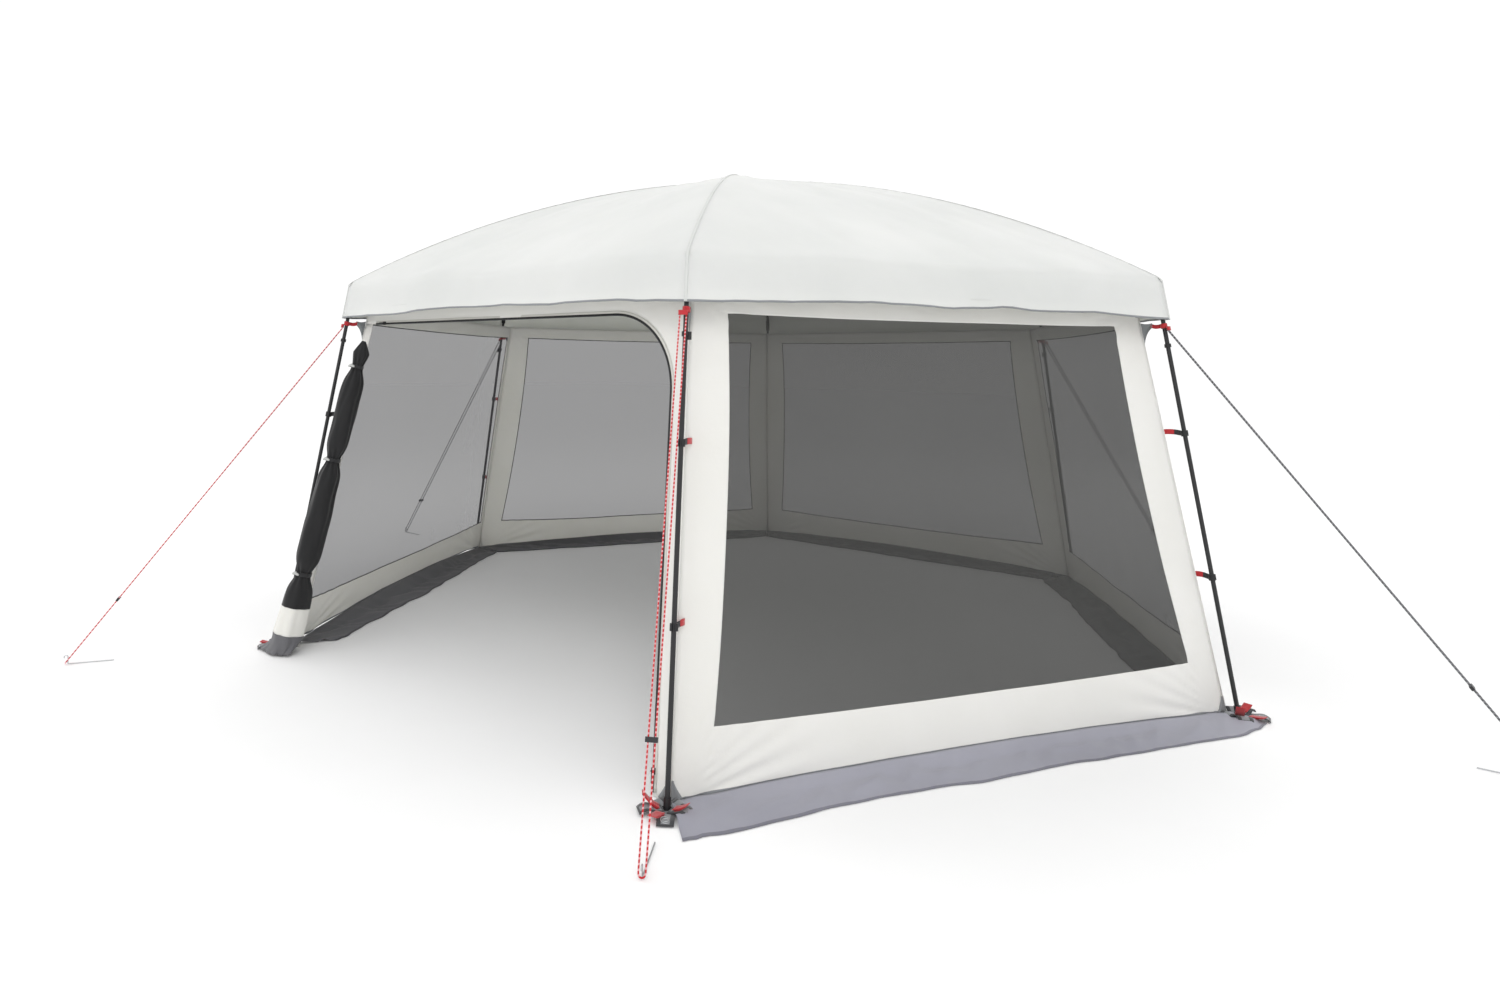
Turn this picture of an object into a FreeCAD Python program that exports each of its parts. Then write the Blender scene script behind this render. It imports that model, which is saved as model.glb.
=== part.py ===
import FreeCAD, Part
import math
import os

import Sketcher
from FreeCAD import Placement, Rotation, Vector

# A six-sided screen house: a roof of six gores on arched rods, six splayed steel legs outside the
# walls, six walls with a mesh window each except the door wall, and one guy line at each corner.
# Frame: +Z up, origin on the ground under the crown, the door wall faces -Y, two legs on the X axis.

os.makedirs("parts", exist_ok=True)
doc = FreeCAD.newDocument("screen_house")
sheet = doc.addObject("Spreadsheet::Sheet", "Sizes")

SIZES = [
    ("eave_height", 1500, "ground to the pole's height at the roof hem"),
    ("foot_radius", 2286, "crown axis to a leg's foot"),
    ("eave_radius", "=foot_radius - 266", "crown axis to a leg at eave_height"),
    ("knee_height", "=eave_height + 140", "ground to the bend of the corner elbow"),
    ("rod_top_height", "=knee_height + 622", "ground to where the roof rods meet"),
    ("rod_rise", 120, "how far a roof rod bows above its chord"),
    ("roof_gap", 26, "rod or leg axis to the outer face of the roof"),
    ("roof_hem_drop", 10, "the roof hem hangs this far below eave_height"),
    ("fabric_thickness", 2, "coated polyester, as a plain slab"),
    ("seam_gap", 1, "between two panels that are sewn together"),
    ("mesh_thickness", 1, "insect mesh, as a plain slab"),
    ("leg_diameter", 16, "steel leg tube, outside"),
    ("leg_bore", "=leg_diameter - 2", "steel leg tube, inside"),
    ("leg_joint_height", 370, "ground to the joint of a leg's two sections"),
    ("ferrule_length", 130, "sleeve inside the leg joint"),
    ("ferrule_clearance", 0.2, "sleeve to the tube's bore, all round"),
    ("rod_diameter", 11, "glass fibre roof rod"),
    ("socket_clearance", 0.3, "tube to its socket, all round"),
    ("rod_slack", 1.2, "bowed roof rod to its straight socket, all round"),
    ("socket_wall", 4, "wall of the elbow's and the hub's sockets"),
    ("elbow_socket_length", 70, "from the bend to a socket's mouth"),
    ("elbow_stop", 16, "from the bend to the end of a tube or rod in it"),
    ("hub_radius", 45, "crown hub disc"),
    ("hub_thickness", 24, "crown hub disc"),
    ("hub_socket_reach", 95, "crown axis to the mouth of a hub socket"),
    ("hub_stop", 32, "crown axis to the end of a roof rod"),
    ("cap_radius", "=leg_diameter / 2 + 3", "foot cap, outside"),
    ("cap_length", 36, "foot cap along the leg"),
    ("cap_seat", 10, "ground to the leg tube's end in the cap"),
    ("wall_foot_radius", "=foot_radius - 44", "crown axis to the walls' bottom corner"),
    ("wall_top_radius", "=eave_radius - 95", "crown axis to the walls' top corner"),
    ("wall_top_height", "=eave_height + 40", "ground to the walls' top edge"),
    ("band_height", 181, "wall's bottom band, up the slope"),
    ("valance_height", 67, "wall's strip above the window, up the slope"),
    ("side_strip", 128, "wall's strip beside the window"),
    ("narrow_strip", 34, "the same on the left front wall, whose window is wider"),
    ("skirt_width", 170, "ground skirt"),
    ("zip_inset", 62, "wall corner to the zip's line"),
    ("zip_top", "=wall_top_height - 50", "wall's foot to the zip's top run, up the slope"),
    ("zip_corner_radius", 300, "the door's rounded corner"),
    ("zip_left_end", "=wall_top_radius / 2 - 82.5", "wall's middle to the zip's left end"),
    ("zip_bottom", 10, "wall's foot to the zip's lower end"),
    ("tape_width", 24, "zip tape"),
    ("tape_thickness", 1.2, "zip tape"),
    ("coil_width", 6, "zip coil"),
    ("coil_height", 2.4, "zip coil"),
    ("slider_clearance", 0.4, "zip coil and tape to the slider"),
    ("slider_length", 18, "zip slider along the zip"),
    ("side_park", 60, "zip's lower end to the side slider at rest"),
    ("top_park", 72, "zip's left end to the top slider at rest"),
    ("slider_width", 14, "zip slider across the zip"),
    ("slider_height", 5.5, "zip slider above the tape"),
    ("bail_radius", 1, "pin that the pull hangs on"),
    ("bail_clearance", 0.1, "pin to the pull's eye, all round"),
    ("pull_length", 34, "zip pull from its pin"),
    ("pull_width", 7, "zip pull"),
    ("pull_thickness", 2, "zip pull"),
    ("clip_high", "=eave_height * 7 / 10", "ground to the upper pole clip"),
    ("clip_low", "=eave_height * 101 / 300", "ground to the lower pole clip"),
    ("clip_radius", "=leg_diameter / 2 + 5", "pole clip, outside"),
    ("clip_height", 22, "pole clip along the leg"),
    ("clip_mouth", 9, "gap that the pole snaps in through"),
    ("strap_width", 20, "red webbing"),
    ("strap_thickness", 2, "red webbing"),
    ("peg_radius_far", "=foot_radius + 834", "crown axis to a guy peg"),
    ("peg_radius_near", "=foot_radius + 354", "crown axis to the guy peg beside the door"),
    ("peg_wire", 4, "guy peg's wire"),
    ("guy_diameter", 5, "guy line"),
    ("runner_width", 34, "line runner across its two strands"),
    ("runner_length", 14, "line runner along the line"),
    ("runner_thickness", 10, "line runner"),
    ("roll_top_radius", 34, "rolled door, upper end"),
    ("roll_foot_radius", 60, "rolled door, lower end of the mesh"),
    ("tab_reach", "=foot_radius + 103", "crown axis to the outer edge of a foot's webbing patch"),
    ("tab_width", 60, "foot's webbing patch"),
    ("tail_width", 210, "rolled door's skirt end, spread on the ground"),
    ("tail_depth", 72, "rolled door's skirt end, spread on the ground"),
]
for row, (alias, number, meaning) in enumerate(SIZES, 1):
    sheet.set(f"A{row}", meaning)
    sheet.set(f"B{row}", str(number))
    sheet.setAlias(f"B{row}", alias)
doc.recompute()
S = {alias: float(sheet.get(alias)) for alias, number, meaning in SIZES}

CORNERS = {
    "right": 0,
    "back_right": 60,
    "back_left": 120,
    "left": 180,
    "front_left": 240,
    "front_right": 300,
}
WALLS = {
    "right_back": 30,
    "back": 90,
    "left_back": 150,
    "left_front": 210,
    "front": 270,
    "right_front": 330,
}
WINDOW_WALLS = [name for name in WALLS if name != "front"]
HALF_GORE = 30  # degrees from a gore's middle to its hip
APOTHEM = math.cos(math.radians(HALF_GORE))

# Names that the shapes share, all from the sheet.
leg_run = S["foot_radius"] - S["eave_radius"]
leg_lean = math.degrees(math.atan2(leg_run, S["eave_height"]))
leg_up = Vector(-leg_run, 0, S["eave_height"]).normalize()
wall_rise = S["wall_top_height"] - S["fabric_thickness"]
wall_run = (S["wall_foot_radius"] - S["wall_top_radius"]) * APOTHEM
wall_slope = math.hypot(wall_rise, wall_run)
wall_lean = math.atan2(wall_run, wall_rise)
WALL_SLOPE = (
    "sqrt((Sizes.wall_top_height - Sizes.fabric_thickness)^2"
    " + ((Sizes.wall_foot_radius - Sizes.wall_top_radius) * sqrt(3) / 2)^2)"
)
nodes = {}


def keep(node, thing):
    """Gives a finished sub-part its label, which names its file."""
    thing.Label = node
    nodes[node] = thing
    return thing


def bound(kind, name, place=None, **formulas):
    """A document object of that kind with its properties bound to the sheet."""
    thing = doc.addObject(kind, name)
    for prop, formula in formulas.items():
        thing.setExpression(prop, formula)
    if place is not None:
        thing.Placement = place
    return thing


def boolean(kind, name, first, others):
    """A Part::Cut of first by others, or a Part::MultiFuse of them all."""
    thing = doc.addObject("Part::Cut" if kind == "cut" else "Part::MultiFuse", name)
    if kind == "cut":
        thing.Base = first
        thing.Tool = others[0] if len(others) == 1 else boolean("fuse", name + "_tools", None, others)
    else:
        thing.Shapes = ([first] if first else []) + others
    return thing


def group(node, things):
    """Like pieces that share one node, as separate solids."""
    thing = doc.addObject("Part::Compound", node + "_group")
    thing.Links = things
    return keep(node, thing)


def feature(name, shape, place):
    thing = doc.addObject("Part::Feature", name)
    thing.Shape = shape
    thing.Placement = place
    return thing


def at_corner(angle, radius, side, height, turn=None):
    """A place in a corner's own frame: radius outwards, side anticlockwise from above, height up."""
    return Placement(Vector(), Rotation(Vector(0, 0, 1), angle)) * Placement(
        Vector(radius, side, height), turn or Rotation()
    )


def leg_radius(height):
    """The leg axis's distance from the crown axis at a height."""
    return S["foot_radius"] - leg_run * height / S["eave_height"]


def wall_radius(height):
    """The walls' corner line at a height."""
    share = (height - S["fabric_thickness"]) / wall_rise
    return S["wall_foot_radius"] + (S["wall_top_radius"] - S["wall_foot_radius"]) * share


def on_leg(angle, height):
    """A place on a leg's axis, with its Z along the leg."""
    return at_corner(angle, leg_radius(height), 0, height, Rotation(Vector(0, 1, 0), -leg_lean))


def on_wall(angle):
    """A wall's own frame: X along it, Y up its slope, Z outwards, from the middle of its bottom edge."""
    a = math.radians(angle)
    along = Vector(-math.sin(a), math.cos(a), 0)
    up = Vector(-math.cos(a) * math.sin(wall_lean), -math.sin(a) * math.sin(wall_lean), math.cos(wall_lean))
    out = along.cross(up)
    foot = S["wall_foot_radius"] * APOTHEM
    base = Vector(foot * math.cos(a), foot * math.sin(a), S["fabric_thickness"])
    return Placement(base, Rotation(along, up, out, "XYZ"))


def half_width(up):
    """Half a wall's width at a distance up its slope. A hexagon's side is as long as its radius."""
    return (S["wall_foot_radius"] + (S["wall_top_radius"] - S["wall_foot_radius"]) * up / wall_slope) / 2


def half_width_formula(up):
    drop = "(Sizes.wall_top_radius - Sizes.wall_foot_radius)"
    return f"(Sizes.wall_foot_radius + {drop} * ({up}) / ({WALL_SLOPE})) / 2"


def trapezoid(name, low, high, left, right, thickness, place):
    """A flat slab in a wall's frame from low to high; left and right give an edge's formula at each."""
    return bound(
        "Part::Wedge",
        name,
        place,
        Xmin=left(low),
        Xmax=right(low),
        X2min=left(high),
        X2max=right(high),
        Ymin=low,
        Ymax=high,
        Zmin="0",
        Zmax=thickness,
        Z2min="0",
        Z2max=thickness,
    )


def tube_body(name, outer, inner, length, place):
    """A tube as a PartDesign body: two circles, padded."""
    body = doc.addObject("PartDesign::Body", name)
    sketch = body.newObject("Sketcher::SketchObject", name + "_section")
    ground = [f for f in body.Origin.OriginFeatures if f.Role == "XY_Plane"][0]
    sketch.AttachmentSupport = [(ground, "")]
    sketch.MapMode = "FlatFace"
    for index, (ring, formula) in enumerate((("outer", outer), ("inner", inner))):
        sketch.addGeometry(Part.Circle(Vector(), Vector(0, 0, 1), 10 - index), False)
        sketch.addConstraint(Sketcher.Constraint("Coincident", index, 3, -1, 1))
        number = sketch.addConstraint(Sketcher.Constraint("Diameter", index, 20 - 2 * index))
        sketch.renameConstraint(number, ring)
        sketch.setExpression("Constraints." + ring, formula)
    pad = body.newObject("PartDesign::Pad", name + "_pad")
    pad.Profile = sketch
    pad.setExpression("Length", length)
    body.Placement = place
    return body


def rounded_wire(points, radius_of):
    """Straight runs joined by tangent arcs. radius_of(before, point, after) gives each arc's radius."""
    edges = []
    start = points[0]
    radii = []
    for before, point, after in zip(points, points[1:], points[2:]):
        into = (point - before).normalize()
        out = (after - point).normalize()
        turn = into.getAngle(out)
        radius = radius_of(before, point, after)
        back = radius * math.tan(turn / 2)
        radii.append(radius)
        first = point - into * back
        last = point + out * back
        to_centre = (out - into).normalize()
        middle = point + to_centre * (radius / math.cos(turn / 2) - radius)
        edges.append(Part.LineSegment(start, first).toShape())
        edges.append(Part.Arc(first, middle, last).toShape())
        start = last
    edges.append(Part.LineSegment(start, points[-1]).toShape())
    return Part.Wire(edges), radii


def tube_along(wire, diameter):
    """A round solid along a wire."""
    start = wire.Edges[0]
    first = start.FirstParameter
    circle = Part.Circle(start.valueAt(first), start.tangentAt(first), diameter / 2)
    return wire.makePipeShell([Part.Wire([circle.toShape()])], True, False)


def cord_radius(before, point, after):
    """An arc as large as its two runs allow."""
    shorter = min((point - before).Length, (after - point).Length)
    turn = (point - before).getAngle(after - point)
    return 0.45 * shorter / math.tan(turn / 2)


# ---------------------------------------------------------------- frame


def make_legs():
    """Each leg is two black steel tubes on one axis, joined by a sleeve inside them."""
    sleeves = []
    leg_cosine = "(Sizes.eave_height / sqrt(Sizes.eave_height^2 + (Sizes.foot_radius - Sizes.eave_radius)^2))"
    for corner, angle in CORNERS.items():
        lower = tube_body(
            "lower_" + corner,
            "Sizes.leg_diameter",
            "Sizes.leg_bore",
            f"(Sizes.leg_joint_height - Sizes.cap_seat) / {leg_cosine}",
            on_leg(angle, S["cap_seat"]),
        )
        keep("leg_lower_" + corner, lower)
        upper = tube_body(
            "upper_" + corner,
            "Sizes.leg_diameter",
            "Sizes.leg_bore",
            f"(Sizes.knee_height - Sizes.leg_joint_height) / {leg_cosine} - Sizes.elbow_stop",
            on_leg(angle, S["leg_joint_height"]),
        )
        keep("leg_upper_" + corner, upper)
        start = S["leg_joint_height"] - S["ferrule_length"] / 2 * leg_up.z
        sleeves.append(
            bound(
                "Part::Cylinder",
                "sleeve_" + corner,
                on_leg(angle, start),
                Radius="Sizes.leg_bore / 2 - Sizes.ferrule_clearance",
                Height="Sizes.ferrule_length",
            )
        )
    group("leg_ferrules", sleeves)


def make_foot_caps():
    """A plastic cap on each leg's end, cut flat where it stands on the ground."""
    caps = []
    for corner, angle in CORNERS.items():
        below = S["cap_radius"]
        sink = -below / leg_up.z
        blank = bound(
            "Part::Cylinder",
            "cap_blank_" + corner,
            on_leg(angle, sink),
            Radius="Sizes.cap_radius",
            Height="Sizes.cap_length + Sizes.cap_radius",
        )
        bore = bound(
            "Part::Cylinder",
            "cap_bore_" + corner,
            on_leg(angle, S["cap_seat"]),
            Radius="Sizes.leg_diameter / 2 + Sizes.socket_clearance",
            Height="Sizes.cap_length",
        )
        ground = bound(
            "Part::Box",
            "cap_ground_" + corner,
            at_corner(angle, S["foot_radius"] - 3 * below, -3 * below, -6 * below),
            Length="6 * Sizes.cap_radius",
            Width="6 * Sizes.cap_radius",
            Height="6 * Sizes.cap_radius",
        )
        caps.append(boolean("cut", "cap_" + corner, blank, [bore, ground]))
    group("foot_caps", caps)


def rod_arc():
    """The roof rod's arc in a corner's radial plane: its centre, radius and the angles of its two ends."""
    knee = Vector(leg_radius(S["knee_height"]), 0, S["knee_height"])
    top = Vector(0, 0, S["rod_top_height"])
    chord = top - knee
    radius = (chord.Length**2 / 4 + S["rod_rise"] ** 2) / (2 * S["rod_rise"])
    below = Vector(-chord.z, 0, chord.x).normalize()
    centre = (knee + top) * 0.5 + below * (radius - S["rod_rise"])
    angles = [math.degrees(math.atan2(p.z - centre.z, p.x - centre.x)) for p in (knee, top)]
    return centre, radius, angles[0], angles[1]


def rod_turn(along_arc):
    """How many degrees of the rod's arc a length takes."""
    return math.degrees(along_arc / rod_arc()[1])


ROD_RADIUS = (
    "(((Sizes.foot_radius"
    " - (Sizes.foot_radius - Sizes.eave_radius) * Sizes.knee_height / Sizes.eave_height)^2"
    " + (Sizes.rod_top_height - Sizes.knee_height)^2) / 4 + Sizes.rod_rise^2) / (2 * Sizes.rod_rise)"
)


def make_roof_poles():
    """Six arched glass fibre rods from the corner elbows to the crown hub."""
    centre, radius, knee_angle, top_angle = rod_arc()
    first = knee_angle + rod_turn(S["elbow_stop"])
    last = top_angle - rod_turn(S["hub_stop"])
    rods = []
    for corner, angle in CORNERS.items():
        upright = Rotation(Vector(1, 0, 0), 90) * Rotation(Vector(0, 0, 1), first)
        rod = bound(
            "Part::Torus",
            "rod_" + corner,
            at_corner(angle, centre.x, 0, centre.z, upright),
            Radius1=ROD_RADIUS,
            Radius2="Sizes.rod_diameter / 2",
        )
        rod.Angle3 = last - first
        rods.append(rod)
    group("roof_poles", rods)


def socket_pair(name, place, tube, slack):
    """A socket's outside and its bore, along the place's Z from the bend."""
    outside = bound(
        "Part::Cylinder",
        name + "_outside",
        place,
        Radius=f"{tube} / 2 + Sizes.socket_clearance + Sizes.socket_wall",
        Height="Sizes.elbow_socket_length",
    )
    bore = bound(
        "Part::Cylinder",
        name + "_bore",
        place * Placement(Vector(0, 0, S["elbow_stop"]), Rotation()),
        Radius=f"{tube} / 2 + {slack}",
        Height="Sizes.elbow_socket_length",
    )
    return outside, bore


def make_elbows():
    """A moulded elbow at each corner takes the leg's upper end and the roof rod's lower end."""
    knee_angle = rod_arc()[2]
    elbows = []
    for corner, angle in CORNERS.items():
        bend = at_corner(angle, leg_radius(S["knee_height"]), 0, S["knee_height"])
        down = bend * Placement(Vector(), Rotation(Vector(0, 1, 0), 180 - leg_lean))
        inward = bend * Placement(Vector(), Rotation(Vector(0, 1, 0), -knee_angle))
        leg_out, leg_in = socket_pair(
            "elbow_leg_" + corner, down, "Sizes.leg_diameter", "Sizes.socket_clearance"
        )
        rod_out, rod_in = socket_pair(
            "elbow_rod_" + corner, inward, "Sizes.rod_diameter", "Sizes.rod_slack"
        )
        ball = bound(
            "Part::Sphere",
            "elbow_ball_" + corner,
            bend,
            Radius="Sizes.leg_diameter / 2 + Sizes.socket_clearance + Sizes.socket_wall",
        )
        solid = boolean("fuse", "elbow_solid_" + corner, leg_out, [rod_out, ball])
        elbows.append(boolean("cut", "elbow_" + corner, solid, [leg_in, rod_in]))
    group("corner_elbows", elbows)


def make_hub():
    """The crown hub: a disc with a socket for each roof rod."""
    centre, radius, knee_angle, top_angle = rod_arc()
    slope = 90 - top_angle
    disc = bound(
        "Part::Cylinder",
        "hub_disc",
        at_corner(0, 0, 0, S["rod_top_height"] - S["hub_thickness"] / 2),
        Radius="Sizes.hub_radius",
        Height="Sizes.hub_thickness",
    )
    outsides = []
    bores = []
    for corner, angle in CORNERS.items():
        mouth = at_corner(angle, 0, 0, S["rod_top_height"], Rotation(Vector(0, 1, 0), 90 + slope))
        outsides.append(
            bound(
                "Part::Cylinder",
                "hub_socket_" + corner,
                mouth,
                Radius="Sizes.rod_diameter / 2 + Sizes.socket_clearance + Sizes.socket_wall",
                Height="Sizes.hub_socket_reach",
            )
        )
        bores.append(
            bound(
                "Part::Cylinder",
                "hub_bore_" + corner,
                mouth * Placement(Vector(0, 0, S["hub_stop"]), Rotation()),
                Radius="Sizes.rod_diameter / 2 + Sizes.rod_slack",
                Height="Sizes.hub_socket_reach",
            )
        )
    solid = boolean("fuse", "hub_solid", disc, outsides)
    keep("crown_hub", boolean("cut", "hub", solid, bores))


# ---------------------------------------------------------------- roof


def roof_profile(gap):
    """The roof's section over a hip, at a distance outside the leg's and the rod's axis."""
    centre, radius, knee_angle, top_angle = rod_arc()
    rows = 5
    leg_out = Vector(leg_up.z, 0, -leg_up.x)
    hem_height = S["eave_height"] - S["roof_hem_drop"]
    hem = Vector(leg_radius(hem_height), 0, hem_height) + leg_out * gap
    arc_out = Vector(math.cos(math.radians(knee_angle)), 0, math.sin(math.radians(knee_angle)))
    knee = Vector(leg_radius(S["knee_height"]), 0, S["knee_height"])
    corner = knee + (leg_out + arc_out) * (gap / (1 + leg_out.dot(arc_out)))
    profile = [hem, corner]
    for row in range(1, rows):
        angle = math.radians(knee_angle + (top_angle - knee_angle) * row / rows)
        profile.append(centre + Vector(math.cos(angle), 0, math.sin(angle)) * (radius + gap))
    profile.append(Vector(0, 0, S["rod_top_height"] + gap))
    return profile


def gore_solid():
    """One gore of the roof between two hips, as a closed folded slab. Its middle is along +X."""
    outer = roof_profile(S["roof_gap"])
    inner = roof_profile(S["roof_gap"] - S["fabric_thickness"] / APOTHEM)

    def turned(point, side):
        return Rotation(Vector(0, 0, 1), side * HALF_GORE).multVec(point)

    def face(points):
        return Part.Face(Part.makePolygon(points + points[:1]))

    faces = []
    last = len(outer) - 1
    for row in range(last):
        for skin in (outer, inner):
            low = [turned(skin[row], -1), turned(skin[row], 1)]
            high = [turned(skin[row + 1], 1), turned(skin[row + 1], -1)]
            faces.append(face(low + (high[:1] if row + 1 == last else high)))
        for side in (-1, 1):
            corners = (outer[row], outer[row + 1], inner[row + 1], inner[row])
            faces.append(face([turned(point, side) for point in corners]))
    hem = [turned(outer[0], -1), turned(outer[0], 1), turned(inner[0], 1), turned(inner[0], -1)]
    faces.append(face(hem))
    solid = Part.Solid(Part.Shell(faces))
    if solid.Volume < 0:
        solid.reverse()
    return solid


def make_roof():
    """The roof: six gores sewn along the hips, with a steep drop at the eave."""
    gores = []
    for wall, angle in WALLS.items():
        place = Placement(Vector(), Rotation(Vector(0, 0, 1), angle))
        gores.append(feature("gore_" + wall, gore_solid(), place))
    group("roof_canopy", gores)


def make_eave_band():
    """Flat strips that close the gap between the walls' top edge and the roof's drop."""
    low, high = roof_profile(S["roof_gap"] - S["fabric_thickness"] / APOTHEM)[:2]
    top = S["wall_top_height"]
    share = (top + S["fabric_thickness"] - low.z) / (high.z - low.z)
    roof_apothem = (low.x + (high.x - low.x) * share) * APOTHEM
    wall_apothem = S["wall_top_radius"] * APOTHEM
    strips = []
    for wall, angle in WALLS.items():
        strip = bound(
            "Part::Box",
            "eave_strip_" + wall,
            at_corner(angle, wall_apothem, -S["wall_top_radius"] / 2, top + S["seam_gap"]),
            Width="Sizes.wall_top_radius",
            Height="Sizes.fabric_thickness",
        )
        strip.Length = roof_apothem - wall_apothem - S["socket_clearance"]
        strips.append(strip)
    group("eave_band", strips)


# ---------------------------------------------------------------- walls


def left_edge(up):
    return "-" + half_width_formula(up)


def right_edge(up):
    return half_width_formula(up)


def window_edges(strip):
    """A window's left and right edges as formulas of the height up the wall."""

    def left(up):
        return f"Sizes.{strip} - {half_width_formula(up)}"

    def right(up):
        return f"{half_width_formula(up)} - Sizes.{strip}"

    return left, right


def door_left(up):
    return f"Sizes.zip_inset - {half_width_formula(up)}"


def make_window_walls():
    """A wall's border is a valance, a bottom band and two side strips round its mesh window."""
    band = "Sizes.band_height"
    sill = f"{WALL_SLOPE} - Sizes.valance_height"
    fabric = "Sizes.fabric_thickness"
    for wall in WINDOW_WALLS:
        place = on_wall(WALLS[wall])
        window_left, window_right = window_edges("narrow_strip" if wall == "left_front" else "side_strip")
        strips = [
            trapezoid("band_" + wall, "0", band, left_edge, right_edge, fabric, place),
            trapezoid("valance_" + wall, sill, WALL_SLOPE, left_edge, right_edge, fabric, place),
            trapezoid("strip_left_" + wall, band, sill, left_edge, window_left, fabric, place),
            trapezoid("strip_right_" + wall, band, sill, window_right, right_edge, fabric, place),
        ]
        group("wall_border_" + wall, strips)
        mesh = "Sizes.mesh_thickness"
        pane = trapezoid("pane_" + wall, band, sill, window_left, window_right, mesh, place)
        keep("mesh_pane_" + wall, pane)


def zip_line(offset):
    """The zip's line in the door wall's frame, moved inwards by offset: its straight ends and its arc."""
    side_step = (S["wall_top_radius"] - S["wall_foot_radius"]) / 2 / wall_slope
    slant = math.atan(-side_step)
    along = Vector(-math.sin(slant), math.cos(slant), 0)
    inwards = Vector(-math.cos(slant), -math.sin(slant), 0)
    foot = Vector(half_width(0) - S["zip_inset"], 0, 0) + inwards * offset
    top = S["zip_top"] - offset
    corner = foot + along * (top / along.y)
    radius = S["zip_corner_radius"] - offset
    back = radius * math.tan(math.radians(45) - slant / 2)
    bottom = foot + along * (S["zip_bottom"] / along.y)
    side_end = corner - along * back
    top_end = corner - Vector(back, 0, 0)
    left_end = Vector(-S["zip_left_end"], top, 0)
    centre = Vector(top_end.x, top - radius, 0)
    half_turn = math.radians(45) - slant / 2
    middle = centre + Vector(math.sin(half_turn), math.cos(half_turn), 0) * radius
    return {
        "bottom": bottom,
        "side_end": side_end,
        "middle": middle,
        "top_end": top_end,
        "left_end": left_end,
        "corner": corner,
        "along": along,
    }


def zip_strip(width, thickness):
    """A flat strip along the zip's line."""
    outer = zip_line(-width / 2)
    inner = zip_line(width / 2)
    edges = [
        Part.LineSegment(outer["bottom"], outer["side_end"]).toShape(),
        Part.Arc(outer["side_end"], outer["middle"], outer["top_end"]).toShape(),
        Part.LineSegment(outer["top_end"], outer["left_end"]).toShape(),
        Part.LineSegment(outer["left_end"], inner["left_end"]).toShape(),
        Part.LineSegment(inner["left_end"], inner["top_end"]).toShape(),
        Part.Arc(inner["top_end"], inner["middle"], inner["side_end"]).toShape(),
        Part.LineSegment(inner["side_end"], inner["bottom"]).toShape(),
        Part.LineSegment(inner["bottom"], outer["bottom"]).toShape(),
    ]
    return Part.Face(Part.Wire(edges)).extrude(Vector(0, 0, thickness))


def make_door_wall():
    """The door wall's border: a valance, two side strips and the piece inside the door's round corner."""
    place = on_wall(WALLS["front"])
    fabric = "Sizes.fabric_thickness"
    line = zip_line(0)
    side_top = line["side_end"].y
    strips = [
        trapezoid("door_valance", "Sizes.zip_top", WALL_SLOPE, left_edge, right_edge, fabric, place),
        trapezoid("door_strip_left", "0", "Sizes.zip_top", left_edge, door_left, fabric, place),
    ]
    foot = zip_line(0)["along"] * (-S["zip_bottom"] / line["along"].y) + line["bottom"]
    edges = [
        Part.LineSegment(foot, Vector(half_width(0), 0, 0)).toShape(),
        Part.LineSegment(Vector(half_width(0), 0, 0), Vector(half_width(side_top), side_top, 0)).toShape(),
        Part.LineSegment(Vector(half_width(side_top), side_top, 0), line["side_end"]).toShape(),
        Part.LineSegment(line["side_end"], foot).toShape(),
    ]
    side = Part.Face(Part.Wire(edges)).extrude(Vector(0, 0, S["fabric_thickness"]))
    strips.append(feature("door_strip_right", side, place))
    top = S["zip_top"]
    side_corner = Vector(half_width(side_top), side_top, 0)
    top_corner = Vector(half_width(top), top, 0)
    edges = [
        Part.LineSegment(line["side_end"], side_corner).toShape(),
        Part.LineSegment(side_corner, top_corner).toShape(),
        Part.LineSegment(top_corner, line["top_end"]).toShape(),
        Part.Arc(line["top_end"], line["middle"], line["side_end"]).toShape(),
    ]
    spandrel = Part.Face(Part.Wire(edges)).extrude(Vector(0, 0, S["fabric_thickness"]))
    strips.append(feature("door_corner", spandrel, place))
    group("wall_border_front", strips)


def make_skirts():
    """A skirt lies on the ground along each window wall: outside the right front one, inside the rest.
    The door's own skirt is rolled up with it."""
    skirts = []
    fabric = "Sizes.fabric_thickness"
    width = "Sizes.skirt_width"
    full = "Sizes.wall_foot_radius / 2"
    mitred = f"({full} - Sizes.skirt_width / sqrt(3) - Sizes.seam_gap)"
    for wall in WINDOW_WALLS:
        outside = wall == "right_front"
        foot = at_corner(WALLS[wall], S["wall_foot_radius"] * APOTHEM, 0, 0)
        flat = Rotation(Vector(0, 0, 1), -90 if outside else 90)
        place = foot * Placement(Vector(), flat)
        near = full if outside else f"({full} - Sizes.seam_gap)"
        far = full if outside else mitred
        skirts.append(
            bound(
                "Part::Wedge",
                "skirt_" + wall,
                place,
                Xmin="-" + near,
                Xmax=near,
                X2min="-" + far,
                X2max=far,
                Ymin="0",
                Ymax=width,
                Zmin="0",
                Zmax=fabric,
                Z2min="0",
                Z2max=fabric,
            )
        )
    group("ground_skirts", skirts)


# ---------------------------------------------------------------- door zip


def zip_height():
    """The height of the tape's face and of the coil's top above the wall's inner face."""
    tape = S["fabric_thickness"] + S["tape_thickness"]
    return tape, tape + S["coil_height"]


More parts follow.
